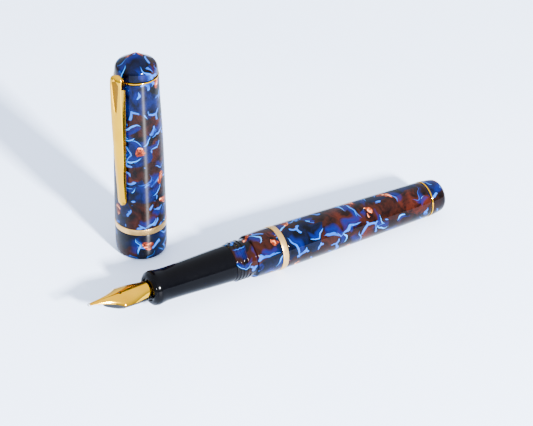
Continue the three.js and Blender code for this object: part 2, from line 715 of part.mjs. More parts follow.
function innerCap() {
  const ceiling = INNER_CAP_TOP - INNER_CAP_END;
  return turned([
    [INNER_CAP_BORE + 0.4, INNER_CAP_MOUTH],
    [INNER_CAP_RADIUS, INNER_CAP_MOUTH],
    [INNER_CAP_RADIUS, INNER_CAP_TOP],
    [FINIAL_SCREW_RADIUS + RUN, INNER_CAP_TOP],
    [FINIAL_SCREW_RADIUS + RUN, ceiling],
    [INNER_CAP_BORE, ceiling],
    [INNER_CAP_BORE, INNER_CAP_MOUTH + 0.6],
  ]);
}

function finialScrew() {
  const seat = INNER_CAP_TOP - INNER_CAP_END - SEAT;
  return turned([
    [0, seat - FINIAL_SCREW_HEAD_HEIGHT],
    [FINIAL_SCREW_HEAD - 0.4, seat - FINIAL_SCREW_HEAD_HEIGHT],
    [FINIAL_SCREW_HEAD, seat - FINIAL_SCREW_HEAD_HEIGHT + 0.4],
    [FINIAL_SCREW_HEAD, seat],
    [FINIAL_SCREW_RADIUS, seat],
    [FINIAL_SCREW_RADIUS, CAP_CEILING + 0.2 + FINIAL_SCREW_GRIP],
    [0, CAP_CEILING + 0.2 + FINIAL_SCREW_GRIP],
  ], SMALL_SEGMENTS);
}

// the clip is bent from one strip: out of the ring, over an arch and down the cap's side
function clip() {
  const ringTop = CLIP_RING_TOP;
  const neck = CLIP_RING_RADIUS + CLIP_GAP;
  const archTop = ringTop + CLIP_ARCH;
  const tipInner = CAP_BODY_RADIUS + CLIP_GAP;
  const side = new THREE.Shape();
  side.moveTo(neck, CLIP_RING_HEIGHT);
  side.lineTo(neck, ringTop);
  side.quadraticCurveTo(neck + 0.1, archTop, neck + 1.7, archTop);
  side.quadraticCurveTo(CLIP_REACH - 0.1, archTop, CLIP_REACH, archTop - 3);
  side.bezierCurveTo(
    CLIP_REACH + 0.1, archTop - 14,
    CLIP_TIP_REACH + 0.7, CLIP_TIP_HEIGHT + 16,
    CLIP_TIP_REACH, CLIP_TIP_HEIGHT + 1.4,
  );
  side.quadraticCurveTo(CLIP_TIP_REACH - 0.1, CLIP_TIP_HEIGHT, tipInner + 0.5, CLIP_TIP_HEIGHT);
  side.quadraticCurveTo(tipInner, CLIP_TIP_HEIGHT, tipInner, CLIP_TIP_HEIGHT + 1.2);
  side.bezierCurveTo(
    tipInner + 0.1, CLIP_TIP_HEIGHT + 14,
    CLIP_REACH - CLIP_DEPTH + 0.2, ringTop - CLIP_HOLE - 14,
    CLIP_REACH - CLIP_DEPTH, ringTop - CLIP_HOLE - 0.3,
  );
  side.lineTo(CLIP_REACH - CLIP_DEPTH + 0.3, ringTop - CLIP_HOLE);
  side.lineTo(CLIP_REACH - CLIP_STRIP, ringTop - CLIP_HOLE);
  side.lineTo(CLIP_REACH - CLIP_STRIP, archTop - 2.9);
  side.quadraticCurveTo(CLIP_REACH - CLIP_STRIP - 0.1, archTop - CLIP_STRIP,
    neck + 1.7, archTop - CLIP_STRIP);
  side.quadraticCurveTo(neck + CLIP_STRIP, archTop - CLIP_STRIP, neck + CLIP_STRIP, ringTop);
  side.lineTo(neck + CLIP_STRIP, CLIP_RING_HEIGHT);
  side.closePath();
  const flank = new THREE.ExtrudeGeometry(side, {
    depth: CLIP_TOP_HALF * 2 + 2, bevelEnabled: false, curveSegments: 7,
  });
  flank.translate(0, 0, -CLIP_TOP_HALF - 1);
  flank.rotateX(Math.PI / 2);

  const front = new THREE.Shape();
  const knee = archTop - 2.2;
  front.moveTo(-CLIP_TIP_HALF, CLIP_TIP_HEIGHT + 1.3);
  front.bezierCurveTo(
    -CLIP_TIP_HALF - 0.45, CLIP_TIP_HEIGHT + 14,
    -CLIP_TOP_HALF, archTop - 18,
    -CLIP_TOP_HALF, knee,
  );
  front.quadraticCurveTo(-CLIP_TOP_HALF, archTop - 0.3, -CLIP_TOP_HALF + 1.5, archTop + 0.2);
  front.lineTo(CLIP_TOP_HALF - 1.5, archTop + 0.2);
  front.quadraticCurveTo(CLIP_TOP_HALF, archTop - 0.3, CLIP_TOP_HALF, knee);
  front.bezierCurveTo(
    CLIP_TOP_HALF, archTop - 18,
    CLIP_TIP_HALF + 0.45, CLIP_TIP_HEIGHT + 14,
    CLIP_TIP_HALF, CLIP_TIP_HEIGHT + 1.3,
  );
  front.absarc(0, CLIP_TIP_HEIGHT + 1.25, CLIP_TIP_HALF, 0, -Math.PI, true);
  front.closePath();
  const face = new THREE.ExtrudeGeometry(front, {
    depth: 8, bevelEnabled: false, curveSegments: 7,
  });
  face.rotateX(Math.PI / 2);
  face.rotateZ(Math.PI / 2);
  face.translate(neck - 1, 0, 0);

  let body = solid(flank).intersect(solid(face));
  for (const hand of [-1, 1]) {
    const beside = new THREE.BoxGeometry(CLIP_STRIP * 2, CLIP_TOP_HALF, 1.6);
    beside.translate(neck + CLIP_STRIP / 2, hand * (CLIP_NECK_HALF + CLIP_TOP_HALF / 2), ringTop);
    body = body.subtract(solid(beside));
  }
  return fromSolid(body);
}

// ---------------------------------------------------------------- assembly
const nibUnit = new THREE.Group();
nibUnit.rotation.x = THREE.MathUtils.degToRad(NIB_ROLL);
nibUnit.add(
  named('nib', nib(), gold()),
  named('feed', feed(), blackPlastic()),
);

const pen = new THREE.Group();
pen.add(
  named('barrel_collar', barrelCollar(), resin()),
  named('barrel_band', barrelBand(), satinGold()),
  named('barrel_tube', barrelTube(), resin()),
  named('barrel_liner', barrelLiner(), brass()),
  named('tail_ring', tailRing(), gold()),
  named('tail_finial', tailFinial(), resin()),
  named('section', section(), blackResin()),
  named('section_thread', sectionThread(), brass()),
  named('seal_ring', sealRing(), rubber()),
  named('nib_housing', nibHousing(), blackPlastic()),
  nibUnit,
  named('converter_tube', converterTube(), clearPlastic()),
  named('converter_sleeve', converterSleeve(), steel()),
  named('converter_guide', converterGuide(), blackPlastic()),
  named('converter_knob', converterKnob(), blackPlastic()),
  named('lead_screw', leadScrew(), steel()),
  named('piston_rod', pistonRod(), blackPlastic()),
  named('piston_seal', pistonSeal(), rubber()),
);
pen.rotation.y = REST_TILT;
pen.position.z = -new THREE.Box3().setFromObject(pen, true).min.z;

const clipSide = new THREE.Group();
clipSide.rotation.z = THREE.MathUtils.degToRad(CLIP_FACES);
clipSide.add(named('clip', clip(), gold()));

const cap = new THREE.Group();
cap.position.set(CAP_ASIDE_X, CAP_ASIDE_Y, 0);
cap.add(
  named('cap_tube', capTube(), resin()),
  named('cap_band', capBand(), satinGold()),
  named('clip_ring', clipRing(), gold()),
  named('cap_finial', capFinial(), resin()),
  named('inner_cap', innerCap(), blackPlastic()),
  named('finial_screw', finialScrew(), steel()),
  clipSide,
);

const fountainPen = new THREE.Group();
fountainPen.add(pen, cap);
const middle = new THREE.Box3().setFromObject(fountainPen, true).getCenter(new THREE.Vector3());
fountainPen.position.set(-middle.x, -middle.y, 0);

export default fountainPen;
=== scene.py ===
# %% [markdown]
# # Fountain pen and cap
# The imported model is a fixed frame: every body and joint is already where it belongs. This lesson
# dresses it. Most pieces of a pen are turned on a lathe, so most of them are made here by reading
# the turned outline from the frame and spinning it again with many more faces and eased edges.

# %% Load the frame
import json
import math
from collections import defaultdict

import bmesh
import bpy
import numpy as np
from mathutils import Matrix, Vector


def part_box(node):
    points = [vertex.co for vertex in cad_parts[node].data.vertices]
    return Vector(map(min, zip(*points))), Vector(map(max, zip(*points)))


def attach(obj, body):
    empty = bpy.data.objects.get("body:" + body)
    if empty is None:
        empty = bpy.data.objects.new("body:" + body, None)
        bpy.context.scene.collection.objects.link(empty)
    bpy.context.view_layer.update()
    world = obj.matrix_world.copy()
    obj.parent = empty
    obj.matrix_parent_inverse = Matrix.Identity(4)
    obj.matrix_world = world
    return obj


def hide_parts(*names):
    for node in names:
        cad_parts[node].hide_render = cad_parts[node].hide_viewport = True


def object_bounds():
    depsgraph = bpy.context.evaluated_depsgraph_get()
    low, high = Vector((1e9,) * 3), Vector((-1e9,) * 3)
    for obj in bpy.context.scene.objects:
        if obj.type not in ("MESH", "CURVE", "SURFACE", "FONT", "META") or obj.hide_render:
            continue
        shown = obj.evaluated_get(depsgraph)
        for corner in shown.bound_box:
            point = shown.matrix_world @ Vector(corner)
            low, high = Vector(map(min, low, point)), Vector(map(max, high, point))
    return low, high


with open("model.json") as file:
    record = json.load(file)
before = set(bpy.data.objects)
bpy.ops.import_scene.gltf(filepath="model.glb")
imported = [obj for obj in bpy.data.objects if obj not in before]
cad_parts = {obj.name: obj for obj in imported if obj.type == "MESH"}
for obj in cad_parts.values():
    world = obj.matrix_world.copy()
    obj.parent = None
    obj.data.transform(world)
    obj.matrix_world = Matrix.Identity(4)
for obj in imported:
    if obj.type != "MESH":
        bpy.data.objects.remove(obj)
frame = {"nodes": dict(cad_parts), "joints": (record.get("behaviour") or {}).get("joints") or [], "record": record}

MM = 0.001
cad_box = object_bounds()
record = frame["record"]
slot_of = {part["node"]: part["material_slot"] for part in record["subparts"]}
body_of = {n: body for body, nodes in record["behaviour"]["bodies"].items() for n in nodes}
joint = {j["name"]: j for j in frame["joints"]}

# %% [markdown]
# ## Two axes
# The pen and the cap are each round about one line. The pen's line is the one its section unscrews
# about, and the cap stands upright. Each gets a matrix that takes a place written as across, up and
# along that line to its place in the row frame. The pen's zero is the middle of the barrel band.

# %% Axes of the pen and the cap
def axes(origin, along, across):
    along = along.normalized()
    upward = along.cross(across).normalized()
    across = upward.cross(along)
    turn = Matrix((across, upward, along)).transposed().to_4x4()
    return Matrix.Translation(origin) @ turn


def middle(node):
    low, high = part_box(node)
    return (low + high) / 2


pen_origin = Vector(joint["section_unscrew"]["pos_m"])
pen_line = Vector(joint["section_unscrew"]["axis"])
PEN = axes(pen_origin, pen_line, Vector((0, 1, 0)))
cap_centre = middle("cap_tube")
cap_centre.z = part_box("cap_tube")[0].z
clip_across = Vector(joint["clip_flex"]["axis"]).normalized()
clip_out = Vector((0, 0, 1)).cross(clip_across)
CAP = axes(cap_centre, Vector((0, 0, 1)), clip_out)
print("pen tilts", round(math.degrees(math.asin(-pen_line.z)), 2), "degrees; the clip faces",
      [round(x, 3) for x in clip_out])

# %% [markdown]
# ## The camera
# A long lens looks down at the pen from its nib end. Its place is counted from the barrel band. A
# lens of 135 mm on a 36 mm sensor sees about 15 degrees, which keeps the pen's taper honest.

# %% Camera
FOCAL_SHARE = 3.7523
CAMERA_FROM_BAND = Vector((-271.28, -419.12)) * MM
CAMERA_HEIGHT = 347.13 * MM
CAMERA_TURN = math.radians(-32.633)
CAMERA_DIP = math.radians(33.267)
CAMERA_ROLL = math.radians(0.58)

look = Vector((-math.sin(CAMERA_TURN) * math.cos(CAMERA_DIP),
               math.cos(CAMERA_TURN) * math.cos(CAMERA_DIP), -math.sin(CAMERA_DIP)))
right = look.cross(Vector((0, 0, 1))).normalized()
above = right.cross(look)
rolled_right = right * math.cos(CAMERA_ROLL) + above * math.sin(CAMERA_ROLL)
rolled_above = above * math.cos(CAMERA_ROLL) - right * math.sin(CAMERA_ROLL)

lens = bpy.data.cameras.new("studio_camera")
lens.lens = lens.sensor_width * FOCAL_SHARE
lens.clip_start = 0.01
camera = bpy.data.objects.new("studio_camera", lens)
stand = Matrix((rolled_right, rolled_above, -look)).transposed().to_4x4()
place = Vector((pen_origin.x + CAMERA_FROM_BAND.x, pen_origin.y + CAMERA_FROM_BAND.y, CAMERA_HEIGHT))
camera.matrix_world = Matrix.Translation(place) @ stand
bpy.context.scene.collection.objects.link(camera)
bpy.context.scene.camera = camera
print("lens", round(lens.lens, 1), "mm")

# %% [markdown]
# ## Colour and nodes
# Colours are written the way a paint chart gives them, as sRGB hex, and one function turns them
# into the linear values that light is worked out in. One more adds a node to a tree.

# %% Helpers for materials
def linear(hex_code, alpha=1.0):
    values = [int(hex_code[i:i + 2], 16) / 255 for i in (1, 3, 5)]
    return (*[v / 12.92 if v <= 0.04045 else ((v + 0.055) / 1.055) ** 2.4 for v in values], alpha)


def add(tree, kind, inputs=None, **settings):
    made = tree.nodes.new(kind)
    for key, value in settings.items():
        setattr(made, key, value)
    for key, value in (inputs or {}).items():
        if isinstance(value, bpy.types.NodeSocket):
            tree.links.new(value, made.inputs[key])
        else:
            made.inputs[key].default_value = value
    return made


def new_material(name):
    made = bpy.data.materials.new(name)
    made.use_nodes = True
    tree = made.node_tree
    return made, tree, tree.nodes["Principled BSDF"]


def stops(ramp, *pairs):
    ramp.color_ramp.elements[0].position = pairs[0][0]
    ramp.color_ramp.elements[0].color = linear(pairs[0][1])
    ramp.color_ramp.elements[1].position = pairs[-1][0]
    ramp.color_ramp.elements[1].color = linear(pairs[-1][1])
    for where, tone in pairs[1:-1]:
        ramp.color_ramp.elements.new(where).color = linear(tone)
    return ramp.outputs["Color"]


# %% [markdown]
# ## Marbled acrylic
# The barrel, the cap and their ends are turned from rods of cast acrylic. Chips of blue, rust and
# copper sheet are stirred into a nearly black resin, and the lathe cuts through them, so each chip
# shows as a thin curved ribbon, a hook or a patch. Here every cell of a Voronoi pattern holds one
# chip: its own random colour turns it, bends it and says whether it is there at all. Distances are
# in millimetres along and around the rod, from an attribute that each turned piece carries.

# %% Chips in the resin
RIBBON_BLUR = 0.13
BACK_OFFSET, BACK_REACH = 1.1, 1.3
SHALLOW_SHARE = 0.42
HELD_TO_ONE = ("taper", "edge", "back")


def chip_sums(cell, half_width, half_length, bend, fold, kept):
    """One row for each Math node: its name, what it does, and the two things it works on."""
    return (
        ("angle", "MULTIPLY", "turn", 2 * math.pi),
        ("cosine", "COSINE", "angle", 0.0),
        ("sine", "SINE", "angle", 0.0),
        ("along_cosine", "MULTIPLY", "along", "cosine"),
        ("around_sine", "MULTIPLY", "around", "sine"),
        ("length", "ADD", "along_cosine", "around_sine"),
        ("around_cosine", "MULTIPLY", "around", "cosine"),
        ("along_sine", "MULTIPLY", "along", "sine"),
        ("width", "SUBTRACT", "around_cosine", "along_sine"),
        ("lean", "SUBTRACT", "sway", 0.5),
        ("curl", "MULTIPLY", "lean", bend),
        ("length_squared", "MULTIPLY", "length", "length"),
        ("curve", "MULTIPLY", "length_squared", "curl"),
        ("half", "ABSOLUTE", "length", 0.0),
        ("crease", "MULTIPLY", "half", fold),
        ("straightened", "SUBTRACT", "width", "curve"),
        ("off", "SUBTRACT", "straightened", "crease"),
        ("share", "DIVIDE", "half", half_length),
        ("share_cubed", "POWER", "share", 3.0),
        ("taper", "SUBTRACT", 1.0, "share_cubed"),
        ("luck_and_one", "ADD", "luck", 1.0),
        ("full_reach", "MULTIPLY", "luck_and_one", half_width),
        ("reach", "MULTIPLY", "taper", "full_reach"),
        ("off_size", "ABSOLUTE", "off", 0.0),
        ("inside", "SUBTRACT", "reach", "off_size"),
        ("edge", "DIVIDE", "inside", RIBBON_BLUR),
        ("deep_size", "ABSOLUTE", "deep", 0.0),
        ("shallow", "LESS_THAN", "deep_size", cell * SHALLOW_SHARE),
        ("drawn", "LESS_THAN", "luck", kept),
        ("there", "MULTIPLY", "shallow", "drawn"),
        ("ribbon", "MULTIPLY", "edge", "there"),
        ("from_back", "SUBTRACT", "off", BACK_OFFSET),
        ("from_back_size", "ABSOLUTE", "from_back", 0.0),
        ("back_share", "DIVIDE", "from_back_size", BACK_REACH),
        ("back", "SUBTRACT", 1.0, "back_share"),
        ("back_tapered", "MULTIPLY", "back", "taper"),
        ("broad_back", "MULTIPLY", "back_tapered", "there"),
    )


def chips(tree, stock, shift, *sizes):
    """One chip per cell. Gives how much of a chip is here, and how near its broad blue back is."""
    cell = sizes[0]
    moved = add(tree, "ShaderNodeVectorMath", {0: stock["bent"], 1: shift}, operation="ADD").outputs[0]
    cells = add(tree, "ShaderNodeTexVoronoi", {"Vector": moved, "Scale": 1 / cell, "Randomness": 0.9})
    chance = add(tree, "ShaderNodeSeparateColor", {0: cells.outputs["Color"]}).outputs
    away = add(tree, "ShaderNodeVectorMath", {0: moved, 1: cells.outputs["Position"]},
               operation="SUBTRACT").outputs[0]
    known = {"turn": chance[0], "sway": chance[1], "luck": chance[2]}
    for name, line in (("along", (1, 0, 0)), ("around", stock["around"]), ("deep", stock["outward"])):
        known[name] = add(tree, "ShaderNodeVectorMath", {0: away, 1: line},
                          operation="DOT_PRODUCT").outputs["Value"]
    for name, kind, *pair in chip_sums(*sizes):
        first, second = (known[v] if isinstance(v, str) else v for v in pair)
        known[name] = add(tree, "ShaderNodeMath", {0: first, 1: second}, operation=kind,
                          use_clamp=name in HELD_TO_ONE).outputs[0]
    return known["ribbon"], known["broad_back"], chance


# %% [markdown]
# The resin itself comes first, in broken pieces of dark brown, rust and deep blue that grow thin and
# thick. Ribbons and chips are laid over it one kind at a time. Each recipe below is one kind of
# chip: where its pattern starts, then its cell, half width and half length in millimetres, how much
# it bends and folds, and how many cells hold one.

# %% Marbled acrylic
ROYAL = "#010a3e"
SHARD_MM = 8.0
SHARD_TONES = ((0.0, "#020102"), (0.10, "#0f0402"), (0.26, "#220803"), (0.50, "#160502"),
               (0.68, "#010524"), (0.80, "#010312"), (0.93, "#020102"))
PEARL_TONES = ((0.35, "#240802"), (0.5, "#4a1607"), (0.6, "#8c3c1a"), (0.7, "#e09468"))
# how often each noise changes, per millimetre of rod
STIR_PER_MM, THICK_PER_MM, BREAK_PER_MM, VEIN_PER_MM, HAZE_PER_MM = 0.2, 0.35, 0.26, 0.7, 0.6
STIR_PULL = 5.0
CHIP_RECIPES = (
    ((0.0, 0.0, 0.0), 7.4, 0.27, 2.9, 0.50, 0.0, 0.62),
    ((41.3, 12.7, 8.9), 8.6, 0.25, 2.8, 0.25, 0.8, 0.52),
    ((17.9, 63.1, 29.3), 6.6, 0.19, 2.2, 0.90, 0.0, 0.50),
)
COPPER_RECIPE = ((71.0, 5.0, 90.0), 9.5, 1.0, 2.3, 0.15, 0.2, 0.44)
AZURE = ("#00286a", "#004290", "#005eac", "#0078c2")


def marbled_acrylic(name, hairlines=False):
    made, tree, surface = new_material(name)
    place_in_rod = add(tree, "ShaderNodeAttribute", attribute_name="stock").outputs["Vector"]
    flat = add(tree, "ShaderNodeVectorMath", {0: place_in_rod, 1: (0, 1, 1)}, operation="MULTIPLY")
    outward = add(tree, "ShaderNodeVectorMath", {0: flat.outputs[0]}, operation="NORMALIZE").outputs[0]
    around = add(tree, "ShaderNodeVectorMath", {0: (1, 0, 0), 1: outward},
                 operation="CROSS_PRODUCT").outputs[0]
    # stirring bends every chip over about 5 mm
    stir = add(tree, "ShaderNodeTexNoise", {"Vector": place_in_rod, "Scale": STIR_PER_MM, "Detail": 1.0})
    swirl = add(tree, "ShaderNodeVectorMath", {0: stir.outputs["Color"], 1: (0.5, 0.5, 0.5)},
                operation="SUBTRACT")
    pulled = add(tree, "ShaderNodeVectorMath", {0: swirl.outputs[0], "Scale": STIR_PULL}, operation="SCALE")
    bent = add(tree, "ShaderNodeVectorMath", {0: place_in_rod, 1: pulled.outputs[0]},
               operation="ADD").outputs[0]
    stock = {"bent": bent, "around": around, "outward": outward}

    # broken sheet: each piece of one tone, thin and thick in places
    sheet = {"Vector": bent, "Scale": 1 / SHARD_MM, "Randomness": 1.0}
    shards = add(tree, "ShaderNodeTexVoronoi", sheet)
    lot = add(tree, "ShaderNodeSeparateColor", {0: shards.outputs["Color"]}).outputs[0]
    shard_ramp = add(tree, "ShaderNodeValToRGB", {0: lot})
    shard_ramp.color_ramp.interpolation = "CONSTANT"
    ground = stops(shard_ramp, *SHARD_TONES)
    depth = add(tree, "ShaderNodeTexNoise", {
        "Vector": bent, "Scale": THICK_PER_MM, "Detail": 3.0, "Roughness": 0.55})
    thick = add(tree, "ShaderNodeMapRange", {0: depth.outputs["Fac"], 1: 0.36, 2: 0.62, 3: 0.15, 4: 1.45})
    colour = add(tree, "ShaderNodeMix", {0: 1.0, 6: ground, 7: thick.outputs[0]},
                 data_type="RGBA", blend_type="MULTIPLY").outputs[2]

    # ribbons that follow the edges of the sheet where it is seen end on
    rims = add(tree, "ShaderNodeTexVoronoi", sheet, feature="DISTANCE_TO_EDGE")
    broken = add(tree, "ShaderNodeTexNoise", {"Vector": place_in_rod, "Scale": BREAK_PER_MM, "Detail": 0.0})
    seen_here = add(tree, "ShaderNodeMapRange", {
        0: broken.outputs["Fac"], 1: 0.58, 2: 0.63, 3: 0.0, 4: 0.055}).outputs[0]
    rim = add(tree, "ShaderNodeMath", {0: seen_here, 1: rims.outputs["Distance"]}, operation="SUBTRACT")
    rim = add(tree, "ShaderNodeMath", {0: rim.outputs[0], 1: 0.02}, operation="DIVIDE", use_clamp=True)
    colour = add(tree, "ShaderNodeMix", {0: rim.outputs[0], 6: colour, 7: linear(AZURE[1])},
                 data_type="RGBA").outputs[2]

    for recipe in CHIP_RECIPES:
        ribbon, back, chance = chips(tree, stock, *recipe)
        glow = add(tree, "ShaderNodeMath", {0: back, 1: 0.9}, operation="MULTIPLY").outputs[0]
        colour = add(tree, "ShaderNodeMix", {0: glow, 6: colour, 7: linear(ROYAL)},
                     data_type="RGBA").outputs[2]
        bright = stops(add(tree, "ShaderNodeValToRGB", {0: chance[1]}), *zip((0.0, 0.45, 0.8, 1.0), AZURE))
        colour = add(tree, "ShaderNodeMix", {0: ribbon, 6: colour, 7: bright}, data_type="RGBA").outputs[2]

    # copper chips are broader and rarer, with a pale streaked pearl in them
    copper = chips(tree, stock, *COPPER_RECIPE)[0]
    veins = add(tree, "ShaderNodeTexNoise", {
        "Vector": bent, "Scale": VEIN_PER_MM, "Detail": 2.0, "Distortion": 1.0})
    pearl = stops(add(tree, "ShaderNodeValToRGB", {0: veins.outputs["Fac"]}), *PEARL_TONES)
    colour = add(tree, "ShaderNodeMix", {0: copper, 6: colour, 7: pearl}, data_type="RGBA").outputs[2]

    tree.links.new(colour, surface.inputs["Base Color"])
    # polishing leaves faint hazy patches
    haze = add(tree, "ShaderNodeTexNoise", {"Vector": place_in_rod, "Scale": HAZE_PER_MM, "Detail": 4.0})
    gloss = add(tree, "ShaderNodeMapRange", {0: haze.outputs["Fac"], 1: 0.3, 2: 0.7, 3: 0.05, 4: 0.10})
    tree.links.new(gloss.outputs[0], surface.inputs["Roughness"])
    surface.inputs["IOR"].default_value = 1.49
    surface.inputs["Specular IOR Level"].default_value = 0.09
    if hairlines:
        # buffing round and round leaves hairlines that draw a lamp out along the piece
        facing = add(tree, "ShaderNodeTexCoord").outputs["Normal"]
        ring = add(tree, "ShaderNodeVectorMath", {0: facing, 1: (0, 0, 1)},
                   operation="CROSS_PRODUCT").outputs[0]
        upward = add(tree, "ShaderNodeVectorMath", {0: ring, 1: facing},
                     operation="CROSS_PRODUCT").outputs[0]
        in_world = add(tree, "ShaderNodeVectorTransform", {0: upward}, vector_type="VECTOR",
                       convert_from="OBJECT", convert_to="WORLD").outputs[0]
        tree.links.new(in_world, surface.inputs["Tangent"])
        surface.inputs["Anisotropic"].default_value = 1.0
        surface.inputs["Specular IOR Level"].default_value = 0.14
        gloss.inputs[3].default_value, gloss.inputs[4].default_value = 0.31, 0.35
    return made


# cast acrylic, polished: dark and deep, with a clean narrow gloss
acrylic = marbled_acrylic("marbled_cast_acrylic")
# the same, buffed across: one long thin line of light down the cap
cap_acrylic = marbled_acrylic("marbled_cast_acrylic_buffed", hairlines=True)
print(acrylic.name, len(acrylic.node_tree.nodes), "nodes")

# %% [markdown]
# ## Plain finishes
# The other finishes differ by a few numbers: a colour, how rough it is, and how coarse its grain or
# its tool marks are. Object coordinates are metres, so a grain of one millimetre has a scale of
# about 1000. Each finish is a real process: plating over polished brass, lathe turning, moulding.
# The one exception is the brushed facet gold, whose darker colour is painted shade.

# %% Grain and tool marks
CLOUD_MM = 6.25
RELIEF_MM = 0.02


def finish(name, tones, roughness, grain_mm, bump, stretch=(1, 1, 1), metal=0.0, ior=1.5, shine=0.5):
    made, tree, surface = new_material(name)
    where = add(tree, "ShaderNodeTexCoord").outputs["Object"]
    pulled = add(tree, "ShaderNodeMapping", {"Vector": where, "Scale": stretch}).outputs[0]
    grain = add(tree, "ShaderNodeTexNoise", {"Vector": pulled, "Scale": 1 / (grain_mm * MM), "Detail": 4.0})
    wide = add(tree, "ShaderNodeTexNoise", {"Vector": where, "Scale": 1 / (CLOUD_MM * MM), "Detail": 3.0})
    tone = stops(add(tree, "ShaderNodeValToRGB", {0: wide.outputs["Fac"]}),
                 (0.3, tones[0]), (0.7, tones[1]))
    tree.links.new(tone, surface.inputs["Base Color"])
    both = add(tree, "ShaderNodeMath", {0: grain.outputs["Fac"], 1: wide.outputs["Fac"]}, operation="ADD")
    rough = add(tree, "ShaderNodeMapRange", {
        0: both.outputs[0], 1: 0.7, 2: 1.3, 3: roughness[0], 4: roughness[1]})
    tree.links.new(rough.outputs[0], surface.inputs["Roughness"])
    relief = add(tree, "ShaderNodeBump", {
        "Height": grain.outputs["Fac"], "Strength": bump, "Distance": RELIEF_MM * MM})
    tree.links.new(relief.outputs[0], surface.inputs["Normal"])
    surface.inputs["Metallic"].default_value = metal
    if not metal:
        surface.inputs["IOR"].default_value = ior
        surface.inputs["Specular IOR Level"].default_value = shine
    return made


# polished gold plate: hard bright reflections, a trace of polishing haze
gold_plate = finish("polished_gold_plate", ("#c08a06", "#cc9810"), (0.07, 0.13), 0.9, 0.02, metal=1.0)
# brushed gold plate: the same plate on a floor left dull by the press; its much darker colour is painted shade in
# the pressed facet
brushed_painted_shade_gold = finish("brushed_painted_shade_gold_plate", ("#6e4806", "#7c540a"), (0.22, 0.32), 0.2, 0.1, metal=1.0)
# satin gold: the tool's rings are left under a paler plate, so reflections smear
satin_gold = finish("satin_gold_plate", ("#c0924e", "#cea362"), (0.24, 0.34), 0.12, 0.35, metal=1.0)
# polished black acrylic: deep black with a clean edge of light
black_acrylic = finish("polished_black_acrylic", ("#010102", "#020203"), (0.08, 0.15), 1.2, 0.03,
                       ior=1.49, shine=0.05)
# moulded ABS: a fine even grain that breaks the gloss up
moulded_abs = finish("moulded_black_abs", ("#030304", "#060607"), (0.34, 0.48), 0.25, 0.5,
                     ior=1.54, shine=0.25)
# turned brass: a warm dull shine with the rings of the tool in it
turned_brass = finish("turned_brass", ("#c9a24e", "#d9b566"), (0.2, 0.32), 0.15, 0.4, metal=1.0)
# turned stainless steel: grey, harder and a little sharper in its reflections
turned_steel = finish("turned_stainless_steel", ("#b9bbbd", "#cfd1d3"), (0.18, 0.3), 0.15, 0.4, metal=1.0)
# moulded rubber: matt black with no clear reflection at all
moulded_rubber = finish("moulded_black_rubber", ("#0a0a0b", "#121213"), (0.55, 0.7), 0.3, 0.6, ior=1.52)

# clear moulded acrylic: seen through, with a bright edge and a faint ripple from the mould
RIPPLES_PER_METRE = 300.0
clear_acrylic, clear_tree, clear_surface = new_material("clear_moulded_acrylic")
clear_surface.inputs["Transmission Weight"].default_value = 1.0
clear_surface.inputs["Base Color"].default_value = linear("#e9f1f6")
clear_surface.inputs["IOR"].default_value = 1.49
ripple = add(clear_tree, "ShaderNodeTexNoise", {
    "Vector": add(clear_tree, "ShaderNodeTexCoord").outputs["Object"], "Scale": RIPPLES_PER_METRE})
mist = add(clear_tree, "ShaderNodeMapRange", {0: ripple.outputs["Fac"], 3: 0.03, 4: 0.12})
clear_tree.links.new(mist.outputs[0], clear_surface.inputs["Roughness"])

look_of = {
    "marbled_resin": acrylic, "satin_gold": satin_gold, "polished_gold": gold_plate,
    "black_resin": black_acrylic, "black_plastic": moulded_abs, "brass": turned_brass,
    "steel": turned_steel, "rubber": moulded_rubber, "clear_plastic": clear_acrylic,
}
print(len(look_of), "finishes")

# %% [markdown]
# ## Reading a turned outline
# Every vertex of a turned node lies on a few meridians, and the edges that stay on one meridian are
# the outline itself. Following them from point to point gives the outline in order, as a ring of
# (radius, station) pairs, or as a line from axis to axis where the piece is solid in the middle.

# %% Outline of a turned node
def outline(node, line):
    back = line.inverted()
    source = frame["nodes"][node].data
    key = {}
    places = [back @ v.co for v in source.vertices]
    radii = [math.hypot(p.x, p.y) for p in places]
    widest = max(range(len(places)), key=lambda i: radii[i])
    meridian = math.atan2(places[widest].y, places[widest].x)
    for i, p in enumerate(places):
        turn = (math.atan2(p.y, p.x) - meridian + math.pi) % (2 * math.pi) - math.pi
        if radii[i] < 0.02 * MM:
            key[i] = (0.0, round(p.z / MM, 2))
        elif abs(turn) < 0.002:
            key[i] = (round(radii[i] / MM, 2), round(p.z / MM, 2))
    near = defaultdict(set)
    for face in source.polygons:
        ring = list(face.vertices)
        for a, b in zip(ring, ring[1:] + ring[:1]):
            if a in key and b in key and key[a] != key[b] and key[a][0] + key[b][0] > 0:
                near[key[a]].add(key[b])
                near[key[b]].add(key[a])
    ends = sorted(k for k in near if len(near[k]) == 1)
    walk = [ends[0] if ends else min(near, key=lambda k: (k[1], k[0]))]
    while True:
        ahead = [k for k in near[walk[-1]] if k not in walk[-2:]]
        if not ahead or ahead[0] == walk[0] or len(walk) > len(near):
            break
        walk.append(ahead[0])
    return walk, not ends


# %% [markdown]
# ## Easing corners
# A real edge is never sharp, and the thin line of light along it is what makes a turned piece look
# made. Cutting each corner back a little, three times, rounds it. Wide angles are cut further, which
# turns the frame's few straight steps into one smooth curve.

# %% Eased outline
CUT_SHARE = 0.28
WIDE_CUT_MM = 1.6
SHARP_BEND = math.radians(40)


